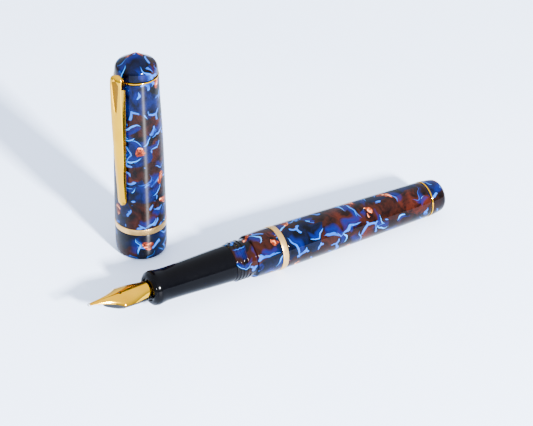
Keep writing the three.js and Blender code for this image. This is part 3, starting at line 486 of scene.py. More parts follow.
def eased(points, closed, edge_mm, rounds=3):
    for step in range(rounds):
        count = len(points)
        cut = []
        for i, here in enumerate(points):
            if not closed and i in (0, count - 1):
                cut.append(here)
                continue
            before = Vector(points[i - 1])
            after = Vector(points[(i + 1) % count])
            spot = Vector(here)
            back, on = before - spot, after - spot
            if back.length < 1e-4 or on.length < 1e-4:
                cut.append(here)
                continue
            bend = math.pi - back.angle(on)
            most = edge_mm if bend > SHARP_BEND and step == 0 else WIDE_CUT_MM
            for way in (back, on):
                cut.append(tuple(spot + way.normalized() * min(CUT_SHARE * way.length, most)))
        points = cut
    return points


# %% [markdown]
# ## Spinning an outline
# The outline is set out at even turns about its line and joined by faces. A point on the axis
# becomes a single vertex, so poles are closed. Each vertex of the marbled rod also remembers where
# in the rod it was cut, and that is what the acrylic's pattern reads.

# %% Lathe
SHARP_EDGE = math.radians(38)


def face_out(data):
    """Turns every closed shell's faces outwards."""
    work = bmesh.new()
    work.from_mesh(data)
    bmesh.ops.recalc_face_normals(work, faces=work.faces)
    work.to_mesh(data)
    work.free()


def mesh_object(name, verts, faces, material, smooth=True):
    data = bpy.data.meshes.new(name)
    data.from_pydata([tuple(v) for v in verts], [], faces)
    data.materials.append(material)
    data.validate()
    face_out(data)
    if smooth:
        data.shade_smooth()
        data.set_sharp_from_angle(angle=SHARP_EDGE)
    made = bpy.data.objects.new(name, data)
    bpy.context.scene.collection.objects.link(made)
    return made


def spin(points, closed, line, turns):
    area = sum(a[0] * b[1] - b[0] * a[1] for a, b in zip(points, points[1:] + points[:1]))
    if area < 0:
        points = points[::-1]
    local, rows = [], []
    for radius, station in points:
        if radius < 1e-6:
            rows.append([len(local)] * turns)
            local.append((0.0, 0.0, station))
            continue
        rows.append(list(range(len(local), len(local) + turns)))
        for k in range(turns):
            angle = 2 * math.pi * k / turns
            local.append((radius * math.cos(angle), radius * math.sin(angle), station))
    faces = []
    pairs = list(zip(rows, rows[1:] + rows[:1])) if closed else list(zip(rows, rows[1:]))
    for low, high in pairs:
        for k in range(turns):
            n = (k + 1) % turns
            ring = [low[k], low[n], high[n], high[k]]
            kept = [v for i, v in enumerate(ring) if v != ring[i - 1]]
            if len(kept) > 2:
                faces.append(kept)
    verts = [line @ (Vector(p) * MM) for p in local]
    return verts, faces, local


ROD_SHIFT = {"pen": Vector((260.0, 0.0, 0.0)), "cap": Vector((510.0, 0.0, 0.0))}


def stock_marks(piece, local, rod):
    marks = piece.data.attributes.new("stock", "FLOAT_VECTOR", "POINT")
    placed = [(p[2] + ROD_SHIFT[rod].x, p[0], p[1]) for p in local]
    marks.data.foreach_set("vector", np.array(placed, np.float32).ravel())


def settle(piece, node, body=None):
    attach(piece, body or body_of[node])
    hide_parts(node)


def turned(node, line, edge_mm=0.12, turns=128, shape=None):
    points, closed = outline(node, line)
    points = shape(points) if shape else points
    points = eased(points, closed, edge_mm)
    verts, faces, local = spin(points, closed, line, turns)
    look = cap_acrylic if node == "cap_tube" else look_of[slot_of[node]]
    piece = mesh_object(node + "_turned", verts, faces, look)
    if slot_of[node] == "marbled_resin":
        stock_marks(piece, local, "cap" if line is CAP else "pen")
    settle(piece, node)
    return piece


# %% [markdown]
# ## The cap and the barrel
# Cap and barrel are drilled rods with a turned outside, parted by gilt rings. All of them come
# straight from their outlines. The rings keep a smaller easing than the resin, because thin metal
# is only just broken at its edges.

# %% Turned resin and rings
for node in ("cap_tube", "cap_finial"):
    turned(node, CAP, 0.25, 192)
for node in ("cap_band", "clip_ring"):
    turned(node, CAP, 0.14, 160)
for node in ("barrel_tube", "tail_finial"):
    turned(node, PEN, 0.2, 192)
for node in ("barrel_band", "tail_ring"):
    turned(node, PEN, 0.14, 160)
print("cap and barrel turned")

# %% [markdown]
# ## The section
# The section is the black grip. Its flange keeps ink off the fingers, and its mouth is faced in
# small steps round the nib. The steps are cut into the outline between the lip and the flange.

# %% Section with a stepped mouth
MOUTH_STEPS = 4
MOUTH_DEPTH = 1.15


def stepped_mouth(points):
    lip = min(s for r, s in points)
    outer = max(r for r, s in points if s < lip + 2.2)
    rim = [p for p in points if not (lip - 0.01 < p[1] < lip + MOUTH_DEPTH + 0.1 and p[0] > 3.8)]
    start = next(i for i, p in enumerate(points) if abs(p[1] - lip) < 0.02 and p[0] > 3.8)
    inner = points[start][0]
    towards = 1 if points[(start + 1) % len(points)][0] > inner + 0.05 else -1
    steps = []
    for k in range(MOUTH_STEPS):
        share = k / MOUTH_STEPS
        radius = inner + (outer - 0.25 - inner) * share
        next_radius = inner + (outer - 0.25 - inner) * (k + 1) / MOUTH_STEPS
        depth = lip + MOUTH_DEPTH * share ** 1.6
        steps += [(radius, depth), (next_radius - 0.05, depth + 0.02)]
    forwards = points[start:] + points[:start]
    backwards = points[start::-1] + points[:start:-1]
    turned_round = forwards if towards == 1 else backwards
    rest = [p for p in turned_round if p in rim]
    return steps + rest


turned("section", PEN, 0.1, 160, stepped_mouth)
for node in ("section_thread", "nib_housing", "barrel_liner", "seal_ring"):
    turned(node, PEN, 0.08, 96)
print("section turned")

# %% [markdown]
# ## Cap threads
# The cap screws on by a shallow thread in front of the barrel's shoulder. A thread is a ridge that
# follows a helix, which is a job for Geometry Nodes: a spiral curve, thinned out at both ends as a
# cutter leaves it, with a small round section drawn along it. The collar under it is turned
# from its outline with the frame's plain rings taken down to the root of the thread.

# %% Thread tree
def thread_tree():
    tree = bpy.data.node_groups.new("screw_thread", "GeometryNodeTree")
    face = tree.interface
    face.new_socket("Geometry", in_out="OUTPUT", socket_type="NodeSocketGeometry")
    for name, value in (("Turns", 4.0), ("Pitch", 1.2 * MM), ("Radius", 6 * MM), ("Ridge", 0.3 * MM)):
        face.new_socket(name, in_out="INPUT", socket_type="NodeSocketFloat").default_value = value
    face.new_socket("Finish", in_out="INPUT", socket_type="NodeSocketMaterial")
    given = add(tree, "NodeGroupInput").outputs
    height = add(tree, "ShaderNodeMath", {0: given["Turns"], 1: given["Pitch"]}, operation="MULTIPLY")
    helix = add(tree, "GeometryNodeCurveSpiral", {
        "Resolution": 72, "Rotations": given["Turns"], "Start Radius": given["Radius"],
        "End Radius": given["Radius"], "Height": height.outputs[0]})
    share = add(tree, "GeometryNodeSplineParameter").outputs["Factor"]
    ends = add(tree, "ShaderNodeMath", {0: share, 1: -1.0, 2: 1.0}, operation="MULTIPLY_ADD")
    least = add(tree, "ShaderNodeMath", {0: share, 1: ends.outputs[0]}, operation="MINIMUM")
    swell = add(tree, "ShaderNodeMath", {0: least.outputs[0], 1: 9.0}, operation="MULTIPLY", use_clamp=True)
    thin = add(tree, "GeometryNodeSetCurveRadius", {"Curve": helix.outputs[0], "Radius": swell.outputs[0]})
    bead = add(tree, "GeometryNodeCurvePrimitiveCircle", {
        "Resolution": 10, "Radius": given["Ridge"]}, mode="RADIUS")
    inputs = {0: thin.outputs[0], 1: bead.outputs[0], "Fill Caps": True}
    drawn = add(tree, "GeometryNodeCurveToMesh", inputs)
    real = add(tree, "GeometryNodeRealizeInstances", {0: drawn.outputs[0]})
    painted = add(tree, "GeometryNodeSetMaterial", {0: real.outputs[0], "Material": given["Finish"]})
    add(tree, "NodeGroupOutput", {0: painted.outputs[0]})
    return tree


def grown(name, tree, values):
    """Runs a Geometry Nodes tree and gives back its result as a plain mesh."""
    holder = bpy.data.objects.new(name + "_holder", bpy.data.meshes.new(name))
    bpy.context.scene.collection.objects.link(holder)
    runner = holder.modifiers.new("nodes", "NODES")
    runner.node_group = tree
    for item in tree.interface.items_tree:
        if item.in_out == "INPUT" and item.name in values:
            runner[item.identifier] = values[item.name]
    bpy.context.view_layer.update()
    seen = holder.evaluated_get(bpy.context.evaluated_depsgraph_get())
    data = bpy.data.meshes.new_from_object(seen)
    bpy.data.objects.remove(holder)
    data.name = name
    face_out(data)
    return data


# %% [markdown]
# The ridge stands on the root of the thread, and both come from the collar's own outline: its plain
# rings say where the thread starts and stops. A turn every 1.2 mm is what such caps have.

# %% Threaded collar
THREAD_PITCH = 1.2
THREAD_CREST = 6.05
THREAD_ROOT = 5.83
RIDGE = 0.34


def bare_collar(points):
    in_thread = lambda p: THREAD_ROOT - 0.02 < p[0] < THREAD_CREST + 0.02
    zone = [p[1] for p in points if in_thread(p)]
    kept = [p for p in points if not (in_thread(p) and min(zone) < p[1] < max(zone))]
    return [(THREAD_ROOT, s) if in_thread((r, s)) else (r, s) for r, s in kept]


collar_points, _ = outline("barrel_collar", PEN)
thread_zone = [s for r, s in collar_points if THREAD_ROOT - 0.02 < r < THREAD_CREST + 0.02]
thread_front, thread_rear = min(thread_zone), max(thread_zone)
turned("barrel_collar", PEN, 0.12, 160, bare_collar)

thread_turns = (thread_rear - thread_front - 2 * RIDGE) / THREAD_PITCH
thread_mesh = grown("cap_thread", thread_tree(), {
    "Turns": thread_turns, "Pitch": THREAD_PITCH * MM,
    "Radius": (THREAD_CREST - RIDGE) * MM, "Ridge": RIDGE * MM, "Finish": acrylic})
marks = [(v.co.x / MM, v.co.y / MM, v.co.z / MM + thread_front + RIDGE) for v in thread_mesh.vertices]
thread_mesh.transform(PEN @ Matrix.Translation((0, 0, (thread_front + RIDGE) * MM)))
thread = bpy.data.objects.new("cap_thread", thread_mesh)
bpy.context.scene.collection.objects.link(thread)
thread_mesh.shade_smooth()
stock_marks(thread, marks, "pen")
settle(thread, "barrel_collar")
print("thread of", round(thread_turns, 1), "turns")

# %% [markdown]
# ## The nib
# A nib starts as a flat gold-coloured blank. It is pressed round a former, so its tail wraps the
# feed and its tines flatten out to the point, then slit, and a vent hole ends the slit. Across the
# nib the sheet is an arc through its crown and its two edges. Those three lines are written as
# rules of the distance from the tip, the surface follows, and the vent and slit are cut last.

# %% Nib rules
NIB_RADIUS, NIB_SHEET, NIB_EXPOSED, NIB_TAIL = 2.78, 0.32, 19.9, 11.0
WING_SETBACK, WING_HALF, WING_RISE = 10.3, 4.15, 0.6
TIP_HALF, TIP_RISE, WRAP = 0.42, 1.85, math.radians(88)
VENT_SETBACK, VENT_RADIUS, SLIT = 10.4, 0.5, 0.12
NIB_ROLL = math.radians(10)
nib_tip = min((PEN.inverted() @ v.co).z for v in frame["nodes"]["nib"].data.vertices) / MM + 0.192


def nib_lines(d):
    crown = TIP_RISE + (NIB_RADIUS - TIP_RISE) * math.sin(min(d / NIB_EXPOSED, 1) * math.pi / 2) ** 0.75
    if d < WING_SETBACK:
        t = d / WING_SETBACK
        half = TIP_HALF + (WING_HALF - TIP_HALF) * (0.46 * t + 0.54 * t ** 3)
        return half, TIP_RISE + (WING_RISE - TIP_RISE) * t ** 1.6, crown
    t = min((d - WING_SETBACK) / (NIB_EXPOSED - WING_SETBACK), 1) ** 1.5
    ease = t * t * (3 - 2 * t)
    half = WING_HALF + (NIB_RADIUS * math.sin(WRAP) - WING_HALF) * ease
    return half, WING_RISE + (NIB_RADIUS * math.cos(WRAP) - WING_RISE) * ease, crown


def nib_spot(d, across, depth):
    half, edge, crown = nib_lines(d)
    sag = max(crown - edge, 0.02)
    radius = (half * half + sag * sag) / (2 * sag)
    reach = math.asin(half / radius) if sag < half else math.pi - math.asin(half / radius)
    angle = reach * across
    inner = radius - depth
    return Vector((inner * math.sin(angle), crown - radius + inner * math.cos(angle), nib_tip + d))


# %% [markdown]
# The sheet is two grids of points, one above and one below, with its edges closed, so it has a real
# thickness. A round cutter and a thin one then take out the vent hole and the slit.

# %% Nib sheet
VENT_STEPS = 32
NIB_ROWS, NIB_COLUMNS = 150, 56
nib_turn = Matrix.Rotation(NIB_ROLL, 4, "Z")
NIB = PEN @ nib_turn


def sheet_between(rows, columns, spot):
    """A thin sheet with an upper side, a lower side and closed edges. spot(i, j, side) places it."""
    verts, faces = [], []
    for side in (0, 1):
        for i in range(rows + 1):
            verts += [spot(i, j, side) for j in range(columns + 1)]
    wide = columns + 1
    lower = wide * (rows + 1)
    for i in range(rows):
        for j in range(columns):
            a = i * wide + j
            faces.append((a, a + 1, a + wide + 1, a + wide))
            faces.append((lower + a, lower + a + wide, lower + a + wide + 1, lower + a + 1))
    for j in range(columns):
        for i, order in ((0, 1), (rows, -1)):
            a = i * wide + j
            faces.append((a, lower + a, lower + a + 1, a + 1)[::order])
    for i in range(rows):
        for j, order in ((0, -1), (columns, 1)):
            a = i * wide + j
            faces.append((a, lower + a, lower + a + wide, a + wide)[::order])
    return verts, faces


def box_mesh(name, low, high, line):
    corners = [(x, y, z) for x in (low[0], high[0]) for y in (low[1], high[1]) for z in (low[2], high[2])]
    faces = [(0, 1, 3, 2), (4, 6, 7, 5), (0, 4, 5, 1), (2, 3, 7, 6), (0, 2, 6, 4), (1, 5, 7, 3)]
    return mesh_object(name, [line @ (Vector(c) * MM) for c in corners], faces, gold_plate, False)


def nib_at(i, j, side):
    d = (NIB_EXPOSED + NIB_TAIL) * (i / NIB_ROWS) ** 1.15
    across = 2 * j / NIB_COLUMNS - 1
    thin = 1 - 0.35 * abs(across) ** 6
    return NIB @ (nib_spot(d, across, NIB_SHEET * (0.5 - 0.5 * thin + thin * side)) * MM)


nib = mesh_object("nib_pressed", *sheet_between(NIB_ROWS, NIB_COLUMNS, nib_at), gold_plate)
vent_turns = [2 * math.pi * k / VENT_STEPS for k in range(VENT_STEPS)]
vent_rows = [(VENT_RADIUS * math.cos(a), VENT_RADIUS * math.sin(a)) for a in vent_turns]
vent_verts = [NIB @ (Vector((x, y, nib_tip + VENT_SETBACK + z)) * MM)
              for y in (1.4, 4.0) for x, z in vent_rows]
vent_faces = [(k, (k + 1) % VENT_STEPS, VENT_STEPS + (k + 1) % VENT_STEPS, VENT_STEPS + k)
              for k in range(VENT_STEPS)]
vent_faces += [tuple(range(VENT_STEPS - 1, -1, -1)), tuple(range(VENT_STEPS, 2 * VENT_STEPS))]
vent = mesh_object("vent_cutter", vent_verts, vent_faces, gold_plate, False)
slit = box_mesh("slit_cutter", (-SLIT / 2, 0.8, nib_tip - 2), (SLIT / 2, 4, nib_tip + VENT_SETBACK), NIB)


def cut(piece, *cutters):
    for cutter in cutters:
        tool = piece.modifiers.new("cut", "BOOLEAN")
        tool.operation = "DIFFERENCE"
        tool.solver = "EXACT"
        tool.object = cutter
    bpy.context.view_layer.update()
    seen = piece.evaluated_get(bpy.context.evaluated_depsgraph_get())
    data = bpy.data.meshes.new_from_object(seen)
    piece.modifiers.clear()
    piece.data = data
    for cutter in cutters:
        bpy.data.objects.remove(cutter)
    data.shade_smooth()
    data.set_sharp_from_angle(angle=SHARP_EDGE)


cut(nib, vent, slit)
settle(nib, "nib")
print("nib", len(nib.data.polygons), "faces")

# %% [markdown]
# The very point carries a small bead of hard metal, ground round and slit with the nib.

# %% Tipping bead
TIPPING_RADIUS = 0.48
bead_outline = [(TIPPING_RADIUS * math.sin(a), -TIPPING_RADIUS * math.cos(a) * 0.9)
                for a in [math.pi * k / 14 for k in range(15)]]
bead_outline = [(0.0 if r < 1e-6 else r, s) for r, s in bead_outline]
bead_place = Vector((0, TIP_RISE - NIB_SHEET / 2, nib_tip + TIPPING_RADIUS * 0.6))
bead_line = NIB @ Matrix.Translation(bead_place * MM)
verts, faces, _ = spin(bead_outline, False, bead_line, 32)
bead = mesh_object("nib_tipping", verts, faces, turned_steel)
bead_slit = box_mesh("bead_slit_cutter", (-SLIT / 2, -2, -3), (SLIT / 2, 2, 3), bead_line)
cut(bead, bead_slit)
settle(bead, "nib")
print("bead set at the tip")

# %% [markdown]
# ## The feed
# Under the nib a moulded feed carries the ink. Its comb of fins holds back what the nib doesn't
# need. The core and its pointed belly are one turned form; the fins repeat along it, so Geometry
# Nodes sets one fin on every point of a line. A fin is a disc with its top cut off under the wings.

# %% Fin comb tree
FIN_RADIUS, FIN_TOP, FIN_PITCH, FIN_THICK, FIN_COUNT = 3.05, -0.5, 0.74, 0.4, 12


def comb_tree():
    tree = bpy.data.node_groups.new("fin_comb", "GeometryNodeTree")
    face = tree.interface
    face.new_socket("Geometry", in_out="OUTPUT", socket_type="NodeSocketGeometry")
    for name, value in (("Radius", 3 * MM), ("Pitch", 0.74 * MM), ("Thickness", 0.4 * MM),
                        ("Sweep", math.pi), ("Start", math.pi)):
        face.new_socket(name, in_out="INPUT", socket_type="NodeSocketFloat").default_value = value
    face.new_socket("Count", in_out="INPUT", socket_type="NodeSocketInt").default_value = 12
    face.new_socket("Finish", in_out="INPUT", socket_type="NodeSocketMaterial")
    given = add(tree, "NodeGroupInput").outputs
    arc = add(tree, "GeometryNodeCurveArc", {
        "Resolution": 40, "Radius": given["Radius"], "Start Angle": given["Start"],
        "Sweep Angle": given["Sweep"]}, mode="RADIUS")
    closed = add(tree, "GeometryNodeSetSplineCyclic", {0: arc.outputs[0], "Cyclic": True})
    end = add(tree, "ShaderNodeCombineXYZ", {"Z": given["Thickness"]})
    core = add(tree, "GeometryNodeCurvePrimitiveLine", {"End": end.outputs[0]})
    fin = add(tree, "GeometryNodeCurveToMesh", {
        0: core.outputs[0], 1: closed.outputs[0], "Fill Caps": True})
    step = add(tree, "ShaderNodeCombineXYZ", {"Z": given["Pitch"]})
    line = add(tree, "GeometryNodeMeshLine", {"Count": given["Count"], "Offset": step.outputs[0]})
    comb = add(tree, "GeometryNodeInstanceOnPoints", {
        "Points": line.outputs[0], "Instance": fin.outputs[0]})
    real = add(tree, "GeometryNodeRealizeInstances", {0: comb.outputs[0]})
    painted = add(tree, "GeometryNodeSetMaterial", {0: real.outputs[0], "Material": given["Finish"]})
    add(tree, "NodeGroupOutput", {0: painted.outputs[0]})
    return tree


def settled_mesh(name, data, line, node):
    data.transform(line)
    piece = bpy.data.objects.new(name, data)
    bpy.context.scene.collection.objects.link(piece)
    data.shade_smooth()
    data.set_sharp_from_angle(angle=SHARP_EDGE)
    settle(piece, node)


# %% [markdown]
# The fins are whole arcs below a flat top, so that the nib's wings can lie over them. The keel in
# front of them is a sheet with a rounded belly, which narrows to the point of the feed.

# %% Feed core and fins
KEEL_LENGTH, KEEL_ROWS, KEEL_COLUMNS = 5.6, 40, 24
FEED_TIP = nib_tip + 5.2
FEED_CONE_END = FEED_TIP + KEEL_LENGTH
feed_rear = nib_tip + NIB_EXPOSED + NIB_TAIL
fin_start = math.pi + math.asin(-FIN_TOP / FIN_RADIUS)
fin_sweep = math.pi - 2 * math.asin(-FIN_TOP / FIN_RADIUS)


def belly_spot(i, j, side):
    """The feed's pointed front: a round keel under a flat top."""
    t = i / KEEL_ROWS
    station = FEED_TIP + KEEL_LENGTH * t
    radius = 0.5 + (FIN_RADIUS - 0.55) * math.sin(t * math.pi / 2) ** 0.8
    angle = fin_start + fin_sweep * j / KEEL_COLUMNS
    drop = (radius * math.sin(angle) - FIN_TOP) * (0.35 + 0.65 * t)
    keel = Vector((radius * math.cos(angle), FIN_TOP + drop, station))
    flat = Vector((keel.x * 0.92, 0.35 + 1.25 * (1 - t) - 0.35 * t, station))
    return NIB @ ((flat if side else keel) * MM)


core_outline = [(0, FEED_TIP + 1.6), (0.9, FEED_TIP + 2.0), (1.75, FEED_CONE_END), (2.3, FEED_CONE_END + 2),
                (2.32, feed_rear), (0, feed_rear)]
verts, faces, _ = spin(eased(core_outline, False, 0.2), False, NIB, 64)
core = mesh_object("feed_core", verts, faces, moulded_abs)
settle(core, "feed")
keel = mesh_object("feed_keel", *sheet_between(KEEL_ROWS, KEEL_COLUMNS, belly_spot), moulded_abs)
settle(keel, "feed")
fins = grown("feed_fins", comb_tree(), {
    "Radius": FIN_RADIUS * MM, "Pitch": FIN_PITCH * MM, "Thickness": FIN_THICK * MM,
    "Start": fin_start, "Sweep": fin_sweep, "Count": FIN_COUNT, "Finish": moulded_abs})
settled_mesh("feed_fins", fins, NIB @ Matrix.Translation((0, 0, (FEED_CONE_END + 0.1) * MM)), "feed")
print("feed with", FIN_COUNT, "fins")

# %% [markdown]
# ## The clip
# The clip is one stamped strip of sheet metal. It leaves the ring as a narrow neck, arches over as a
# rounded hood, and runs down the cap with both edges folded back. A shallow facet shaped like a drop
# is pressed into its front. The strip follows a path in its own plane of symmetry, and at every
# step a bent cross-section of the right width is set on it, which is a loft.

# %% Clip path
RING_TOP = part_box("clip_ring")[1].z / MM - CAP.translation.z / MM
CLIP_ROOT = RING_TOP - 0.5
NECK, REACH, TIP_REACH, ARCH, TIP_HEIGHT = 7.02, 10.27, 9.2, 2.97, 19.62
ARCH_TOP = RING_TOP + ARCH
SHEET = 0.5


def bezier(points, count):
    curve = []
    for k in range(count):
        t = k / count
        level = [Vector(p) for p in points]
        while len(level) > 1:
            level = [a.lerp(b, t) for a, b in zip(level, level[1:])]
        curve.append(level[0])
    return curve


NECK_END, HOOD_END = 34, 74
clip_path = bezier([(NECK, CLIP_ROOT), (NECK, RING_TOP + 0.1)], 8)
clip_path += bezier([(NECK, RING_TOP + 0.1), (NECK + 0.1, ARCH_TOP), (NECK + 1.7, ARCH_TOP)], 26)
clip_path += bezier([(NECK + 1.7, ARCH_TOP), (REACH - 0.1, ARCH_TOP), (REACH, ARCH_TOP - 3)], 40)
clip_path += bezier([(REACH, ARCH_TOP - 3), (REACH + 0.1, ARCH_TOP - 14),
                     (TIP_REACH + 0.7, TIP_HEIGHT + 16), (TIP_REACH, TIP_HEIGHT + 1.4)], 150)
clip_path += bezier([(TIP_REACH, TIP_HEIGHT + 1.4), (TIP_REACH - 0.1, TIP_HEIGHT),
                     (TIP_REACH - 0.55, TIP_HEIGHT)], 14)


# %% [markdown]
# Four rules give the strip its section at each step: how wide it is, how far its edges fold back,
# how deep the facet is pressed, and the ring of points that these make together.

# %% Clip section
def smooth(x, low, high):
    t = min(max((x - low) / (high - low), 0), 1)
    return t * t * (3 - 2 * t)


def clip_half_width(k, r, z):
    if k < NECK_END and z < ARCH_TOP - 0.6:
        return 1.45 + 0.15 * smooth(z, RING_TOP, ARCH_TOP)
    if k < HOOD_END:
        return 1.55 + 0.52 * smooth(r, NECK + 0.6, REACH - 0.15)
    down = (ARCH_TOP - 2.2 - z) / (ARCH_TOP - 2.2 - TIP_HEIGHT)
    half = 2.08 - 0.62 * smooth(down, 0.15, 1.05) ** 1.1
    left = max(z - TIP_HEIGHT, 0)
    return half * math.sqrt(max(1 - (1 - min(left / 1.3, 1)) ** 2 * 0.75, 0))


def clip_flank(k, r, z):
    if k < HOOD_END:
        return 0.62
    hole = RING_TOP - 1.4
    full = 2.45 - 1.35 * (1 - smooth(z, TIP_HEIGHT, hole) ** 0.8)
    return 0.62 + (full - 0.62) * smooth(hole + 0.75 - z, 0, 0.9)


def facet_depth(x, z):
    """How far the drop-shaped facet is pressed in at this place."""
    top, bottom = ARCH_TOP - 1.5, ARCH_TOP - 14.5
    if not bottom < z < top + 0.6:
        return 0.0
    t = min(max((z - bottom) / (top - bottom), 0), 1)
    half = 1.5 * t ** 0.7 * math.sqrt(max(1 - max(t - 0.86, 0) ** 2 / 0.0225, 0))
    pressed = 0.34 * smooth(half - abs(x), -0.05, 0.3) + 0.22 * max(1 - (x / max(half, 0.05)) ** 2, 0)
    return pressed * smooth(t, 0, 0.4)


FRONT_STEPS, FOLD_STEPS, FOLD_MM = 40, 6, 0.5


def clip_ring_points(k):
    r, z = clip_path[k]
    before = clip_path[max(k - 1, 0)]
    after = clip_path[min(k + 1, len(clip_path) - 1)]
    along = (after - before).normalized()
    out = Vector((-along.y, along.x))
    half, depth = clip_half_width(k, r, z), clip_flank(k, r, z)
    fold = min(FOLD_MM, half * 0.4)
    outer = [(-half, -depth)]
    for n in range(FOLD_STEPS + 1):
        a = math.pi / 2 * n / FOLD_STEPS
        outer.append((-half + fold * (1 - math.cos(a)), -0.25 - fold * (1 - math.sin(a))))
    flat = half - fold
    for n in range(1, FRONT_STEPS):
        x = -flat + 2 * flat * n / FRONT_STEPS
        outer.append((x, -0.25 * (x / flat) ** 2 - facet_depth(x, z)))
    outer += [(-x, n) for x, n in outer[FOLD_STEPS + 1::-1]]
    count = len(outer)
    inner = []
    for i, (x, n) in enumerate(outer):
        a, b = outer[max(i - 1, 0)], outer[min(i + 1, count - 1)]
        side = Vector((b[0] - a[0], b[1] - a[1])).normalized()
        inner.append((x + side.y * SHEET * 0.8, n - side.x * SHEET * 0.8))
    if depth < 0.8:
        inner = [(x * 0.84, max(n, -depth)) if i not in (0, count - 1) else (x * 0.84, -depth)
                 for i, (x, n) in enumerate([(o[0], o[1] - SHEET) for o in outer])]
    ring = outer + inner[::-1]
    return [Vector((r + out.x * n, x, z + out.y * n)) for x, n in ring]


# %% [markdown]
# The rings are joined into one closed skin. The facet's floor is left brushed, so its faces take a
# duller finish than the polished strip round them, in a darker colour that is painted shade in the recess.

# %% Clip loft
FACET_FLOOR_MM = 0.3


def loft(rings, line):
    wide = len(rings[0])
    verts = [line @ (p * MM) for ring in rings for p in ring]
    faces = []
    for i in range(len(rings) - 1):
        for j in range(wide):
            n = (j + 1) % wide
            faces.append((i * wide + j, i * wide + n, (i + 1) * wide + n, (i + 1) * wide + j))
    faces.append(tuple(range(wide))[::-1])
    faces.append(tuple(range((len(rings) - 1) * wide, len(rings) * wide)))
    return verts, faces


clip_rings = [clip_ring_points(k) for k in range(len(clip_path))]
clip = mesh_object("clip_strip", *loft(clip_rings, CAP), gold_plate)
# second slot: the facet floor's gold, darkened with painted shade for the pressed recess
clip.data.materials.append(brushed_painted_shade_gold)
to_clip = CAP.inverted()
for face in clip.data.polygons:
    spot = to_clip @ face.center / MM
    outwards = (to_clip.to_3x3() @ face.normal).x
    face.material_index = int(outwards > 0.5 and facet_depth(spot.y, spot.z) > FACET_FLOOR_MM)
settle(clip, "clip")
print("clip from", len(clip_path), "sections")

# %% [markdown]
# ## Inside
# Under the barrel sits the converter: a clear tube with a steel sleeve, a piston with a rubber seal
# and a screw that the black knob turns. They show when the pen is taken apart. The same lathe
# makes them, and the knob gets ribs from a ring of instances.

# %% Inner turned pieces
for node in ("inner_cap", "finial_screw"):
    turned(node, CAP, 0.1, 96)
for node in ("converter_tube", "converter_sleeve", "converter_guide", "lead_screw", "piston_rod",
             "piston_seal"):
    turned(node, PEN, 0.08, 96)
print("converter turned")


# %% [markdown]
# The knob is a cap with a deep socket, and 24 half-sunk rods round it give the fingers a grip. The
# rods stand on the corners of a ring with as many corners as ribs.

# %% Ribbed knob
def rib_tree():
    tree = bpy.data.node_groups.new("knob_ribs", "GeometryNodeTree")
    face = tree.interface
    face.new_socket("Geometry", in_out="OUTPUT", socket_type="NodeSocketGeometry")
    for name, value in (("Radius", 3 * MM), ("Length", 9 * MM), ("Rib", 0.2 * MM)):
        face.new_socket(name, in_out="INPUT", socket_type="NodeSocketFloat").default_value = value
    face.new_socket("Count", in_out="INPUT", socket_type="NodeSocketInt").default_value = 24
    face.new_socket("Finish", in_out="INPUT", socket_type="NodeSocketMaterial")
    given = add(tree, "NodeGroupInput").outputs
    circle = add(tree, "GeometryNodeMeshCircle", {"Vertices": given["Count"], "Radius": given["Radius"]})
    rib = add(tree, "GeometryNodeMeshCylinder", {
        "Vertices": 10, "Radius": given["Rib"], "Depth": given["Length"]})
    ring = add(tree, "GeometryNodeInstanceOnPoints", {
        "Points": circle.outputs[0], "Instance": rib.outputs[0]})
    real = add(tree, "GeometryNodeRealizeInstances", {0: ring.outputs[0]})
    painted = add(tree, "GeometryNodeSetMaterial", {0: real.outputs[0], "Material": given["Finish"]})
    add(tree, "NodeGroupOutput", {0: painted.outputs[0]})
    return tree


knob_places = [PEN.inverted() @ v.co for v in frame["nodes"]["converter_knob"].data.vertices]
knob_front, knob_rear = min(p.z for p in knob_places) / MM, max(p.z for p in knob_places) / MM
knob_radius = max(math.hypot(p.x, p.y) for p in knob_places) / MM
KNOB_SOCKET, SOCKET_DEPTH, RIB, RIB_COUNT = 1.15, 8.0, 0.28, 24
knob_wall = knob_radius - RIB / 2
knob_outline = [(0, knob_rear), (knob_radius - 0.6, knob_rear), (knob_wall, knob_rear - 0.7),
                (knob_wall, knob_front + 0.5), (knob_radius - 0.35, knob_front), (KNOB_SOCKET, knob_front),
                (KNOB_SOCKET, knob_front + SOCKET_DEPTH), (0, knob_front + SOCKET_DEPTH)]
verts, faces, _ = spin(eased(knob_outline, False, 0.15), False, PEN, 96)
knob = mesh_object("converter_knob_body", verts, faces, moulded_abs)
settle(knob, "converter_knob")
ribs = grown("knob_ribs", rib_tree(), {
    "Radius": (knob_radius - RIB) * MM, "Length": (knob_rear - knob_front - 1.6) * MM, "Rib": RIB * MM,
    "Count": RIB_COUNT, "Finish": moulded_abs})
knob_middle = Matrix.Translation((0, 0, (knob_front + knob_rear) / 2 * MM))
settled_mesh("knob_ribs", ribs, PEN @ knob_middle, "converter_knob")
print("knob", round(knob_rear - knob_front, 1), "mm long")

# %% [markdown]
# ## Floor and light
# The set is a plain pale sheet, one small lamp low in front for crisp pale shadows, and a bright
# pale surround that fills them. Gold only looks gold when it has something darker to reflect, so
# the surround falls off towards the horizon.

# %% Floor
FLOOR_HALF = 2.0
FLOOR_Z = cad_box[0][2] - 0.00005
CLOUDS_PER_METRE = 14.0
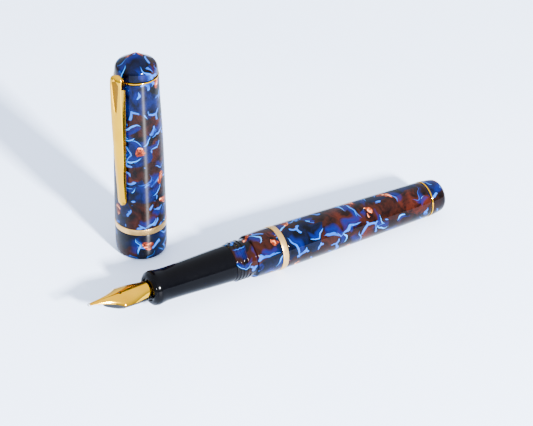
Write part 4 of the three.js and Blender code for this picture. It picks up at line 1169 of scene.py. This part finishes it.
# painted board: flat, pale and a little blue, with no clear reflection
painted_board, board_tree, board = new_material("pale_painted_board")
speck = add(board_tree, "ShaderNodeTexNoise", {
    "Vector": add(board_tree, "ShaderNodeTexCoord").outputs["Object"],
    "Scale": CLOUDS_PER_METRE, "Detail": 3.0})
board_tone = stops(add(board_tree, "ShaderNodeValToRGB", {0: speck.outputs["Fac"]}),
                   (0.35, "#d6e5fe"), (0.65, "#dae8ff"))
board_tree.links.new(board_tone, board.inputs["Base Color"])
board.inputs["Roughness"].default_value = 0.55
corners = [(x * FLOOR_HALF, y * FLOOR_HALF, FLOOR_Z) for x, y in ((-1, -1), (1, -1), (1, 1), (-1, 1))]
floor = mesh_object("floor", corners, [(0, 1, 2, 3)], painted_board, False)
print("floor", 2 * FLOOR_HALF, "m wide")

# %% [markdown]
# One small square lamp gives the crisp edge of each shadow, and the surround is the soft light that
# fills it. Both are placed from the barrel band, so they follow the pen.

# %% Lights
def area_light(name, where, size, watts, tone):
    """A soft box that faces the barrel band."""
    data = bpy.data.lights.new(name, "AREA")
    data.shape = "RECTANGLE"
    data.size, data.size_y = size
    data.energy = watts
    data.color = linear(tone)[:3]
    made = bpy.data.objects.new(name, data)
    made.location = pen_origin + Vector(where)
    made.rotation_euler = (-Vector(where)).to_track_quat("-Z", "Y").to_euler()
    bpy.context.scene.collection.objects.link(made)


area_light("key_front", (0.0, -1.18, 0.55), (0.11, 0.11), 165.0, "#fdfdff")
world = bpy.data.worlds.new("pale_surround")
world.use_nodes = True
bpy.context.scene.world = world
sky = add(world.node_tree, "ShaderNodeTexCoord").outputs["Generated"]
lift = add(world.node_tree, "ShaderNodeSeparateXYZ", {0: sky}).outputs["Z"]
fade = stops(add(world.node_tree, "ShaderNodeValToRGB", {0: lift}),
             (0.0, "#8d97a6"), (0.25, "#b4c0d2"), (0.6, "#e4edff"), (1.0, "#f8fbff"))
backing = world.node_tree.nodes["Background"]
world.node_tree.links.new(fade, backing.inputs["Color"])
backing.inputs["Strength"].default_value = 3.1
print("set lit")
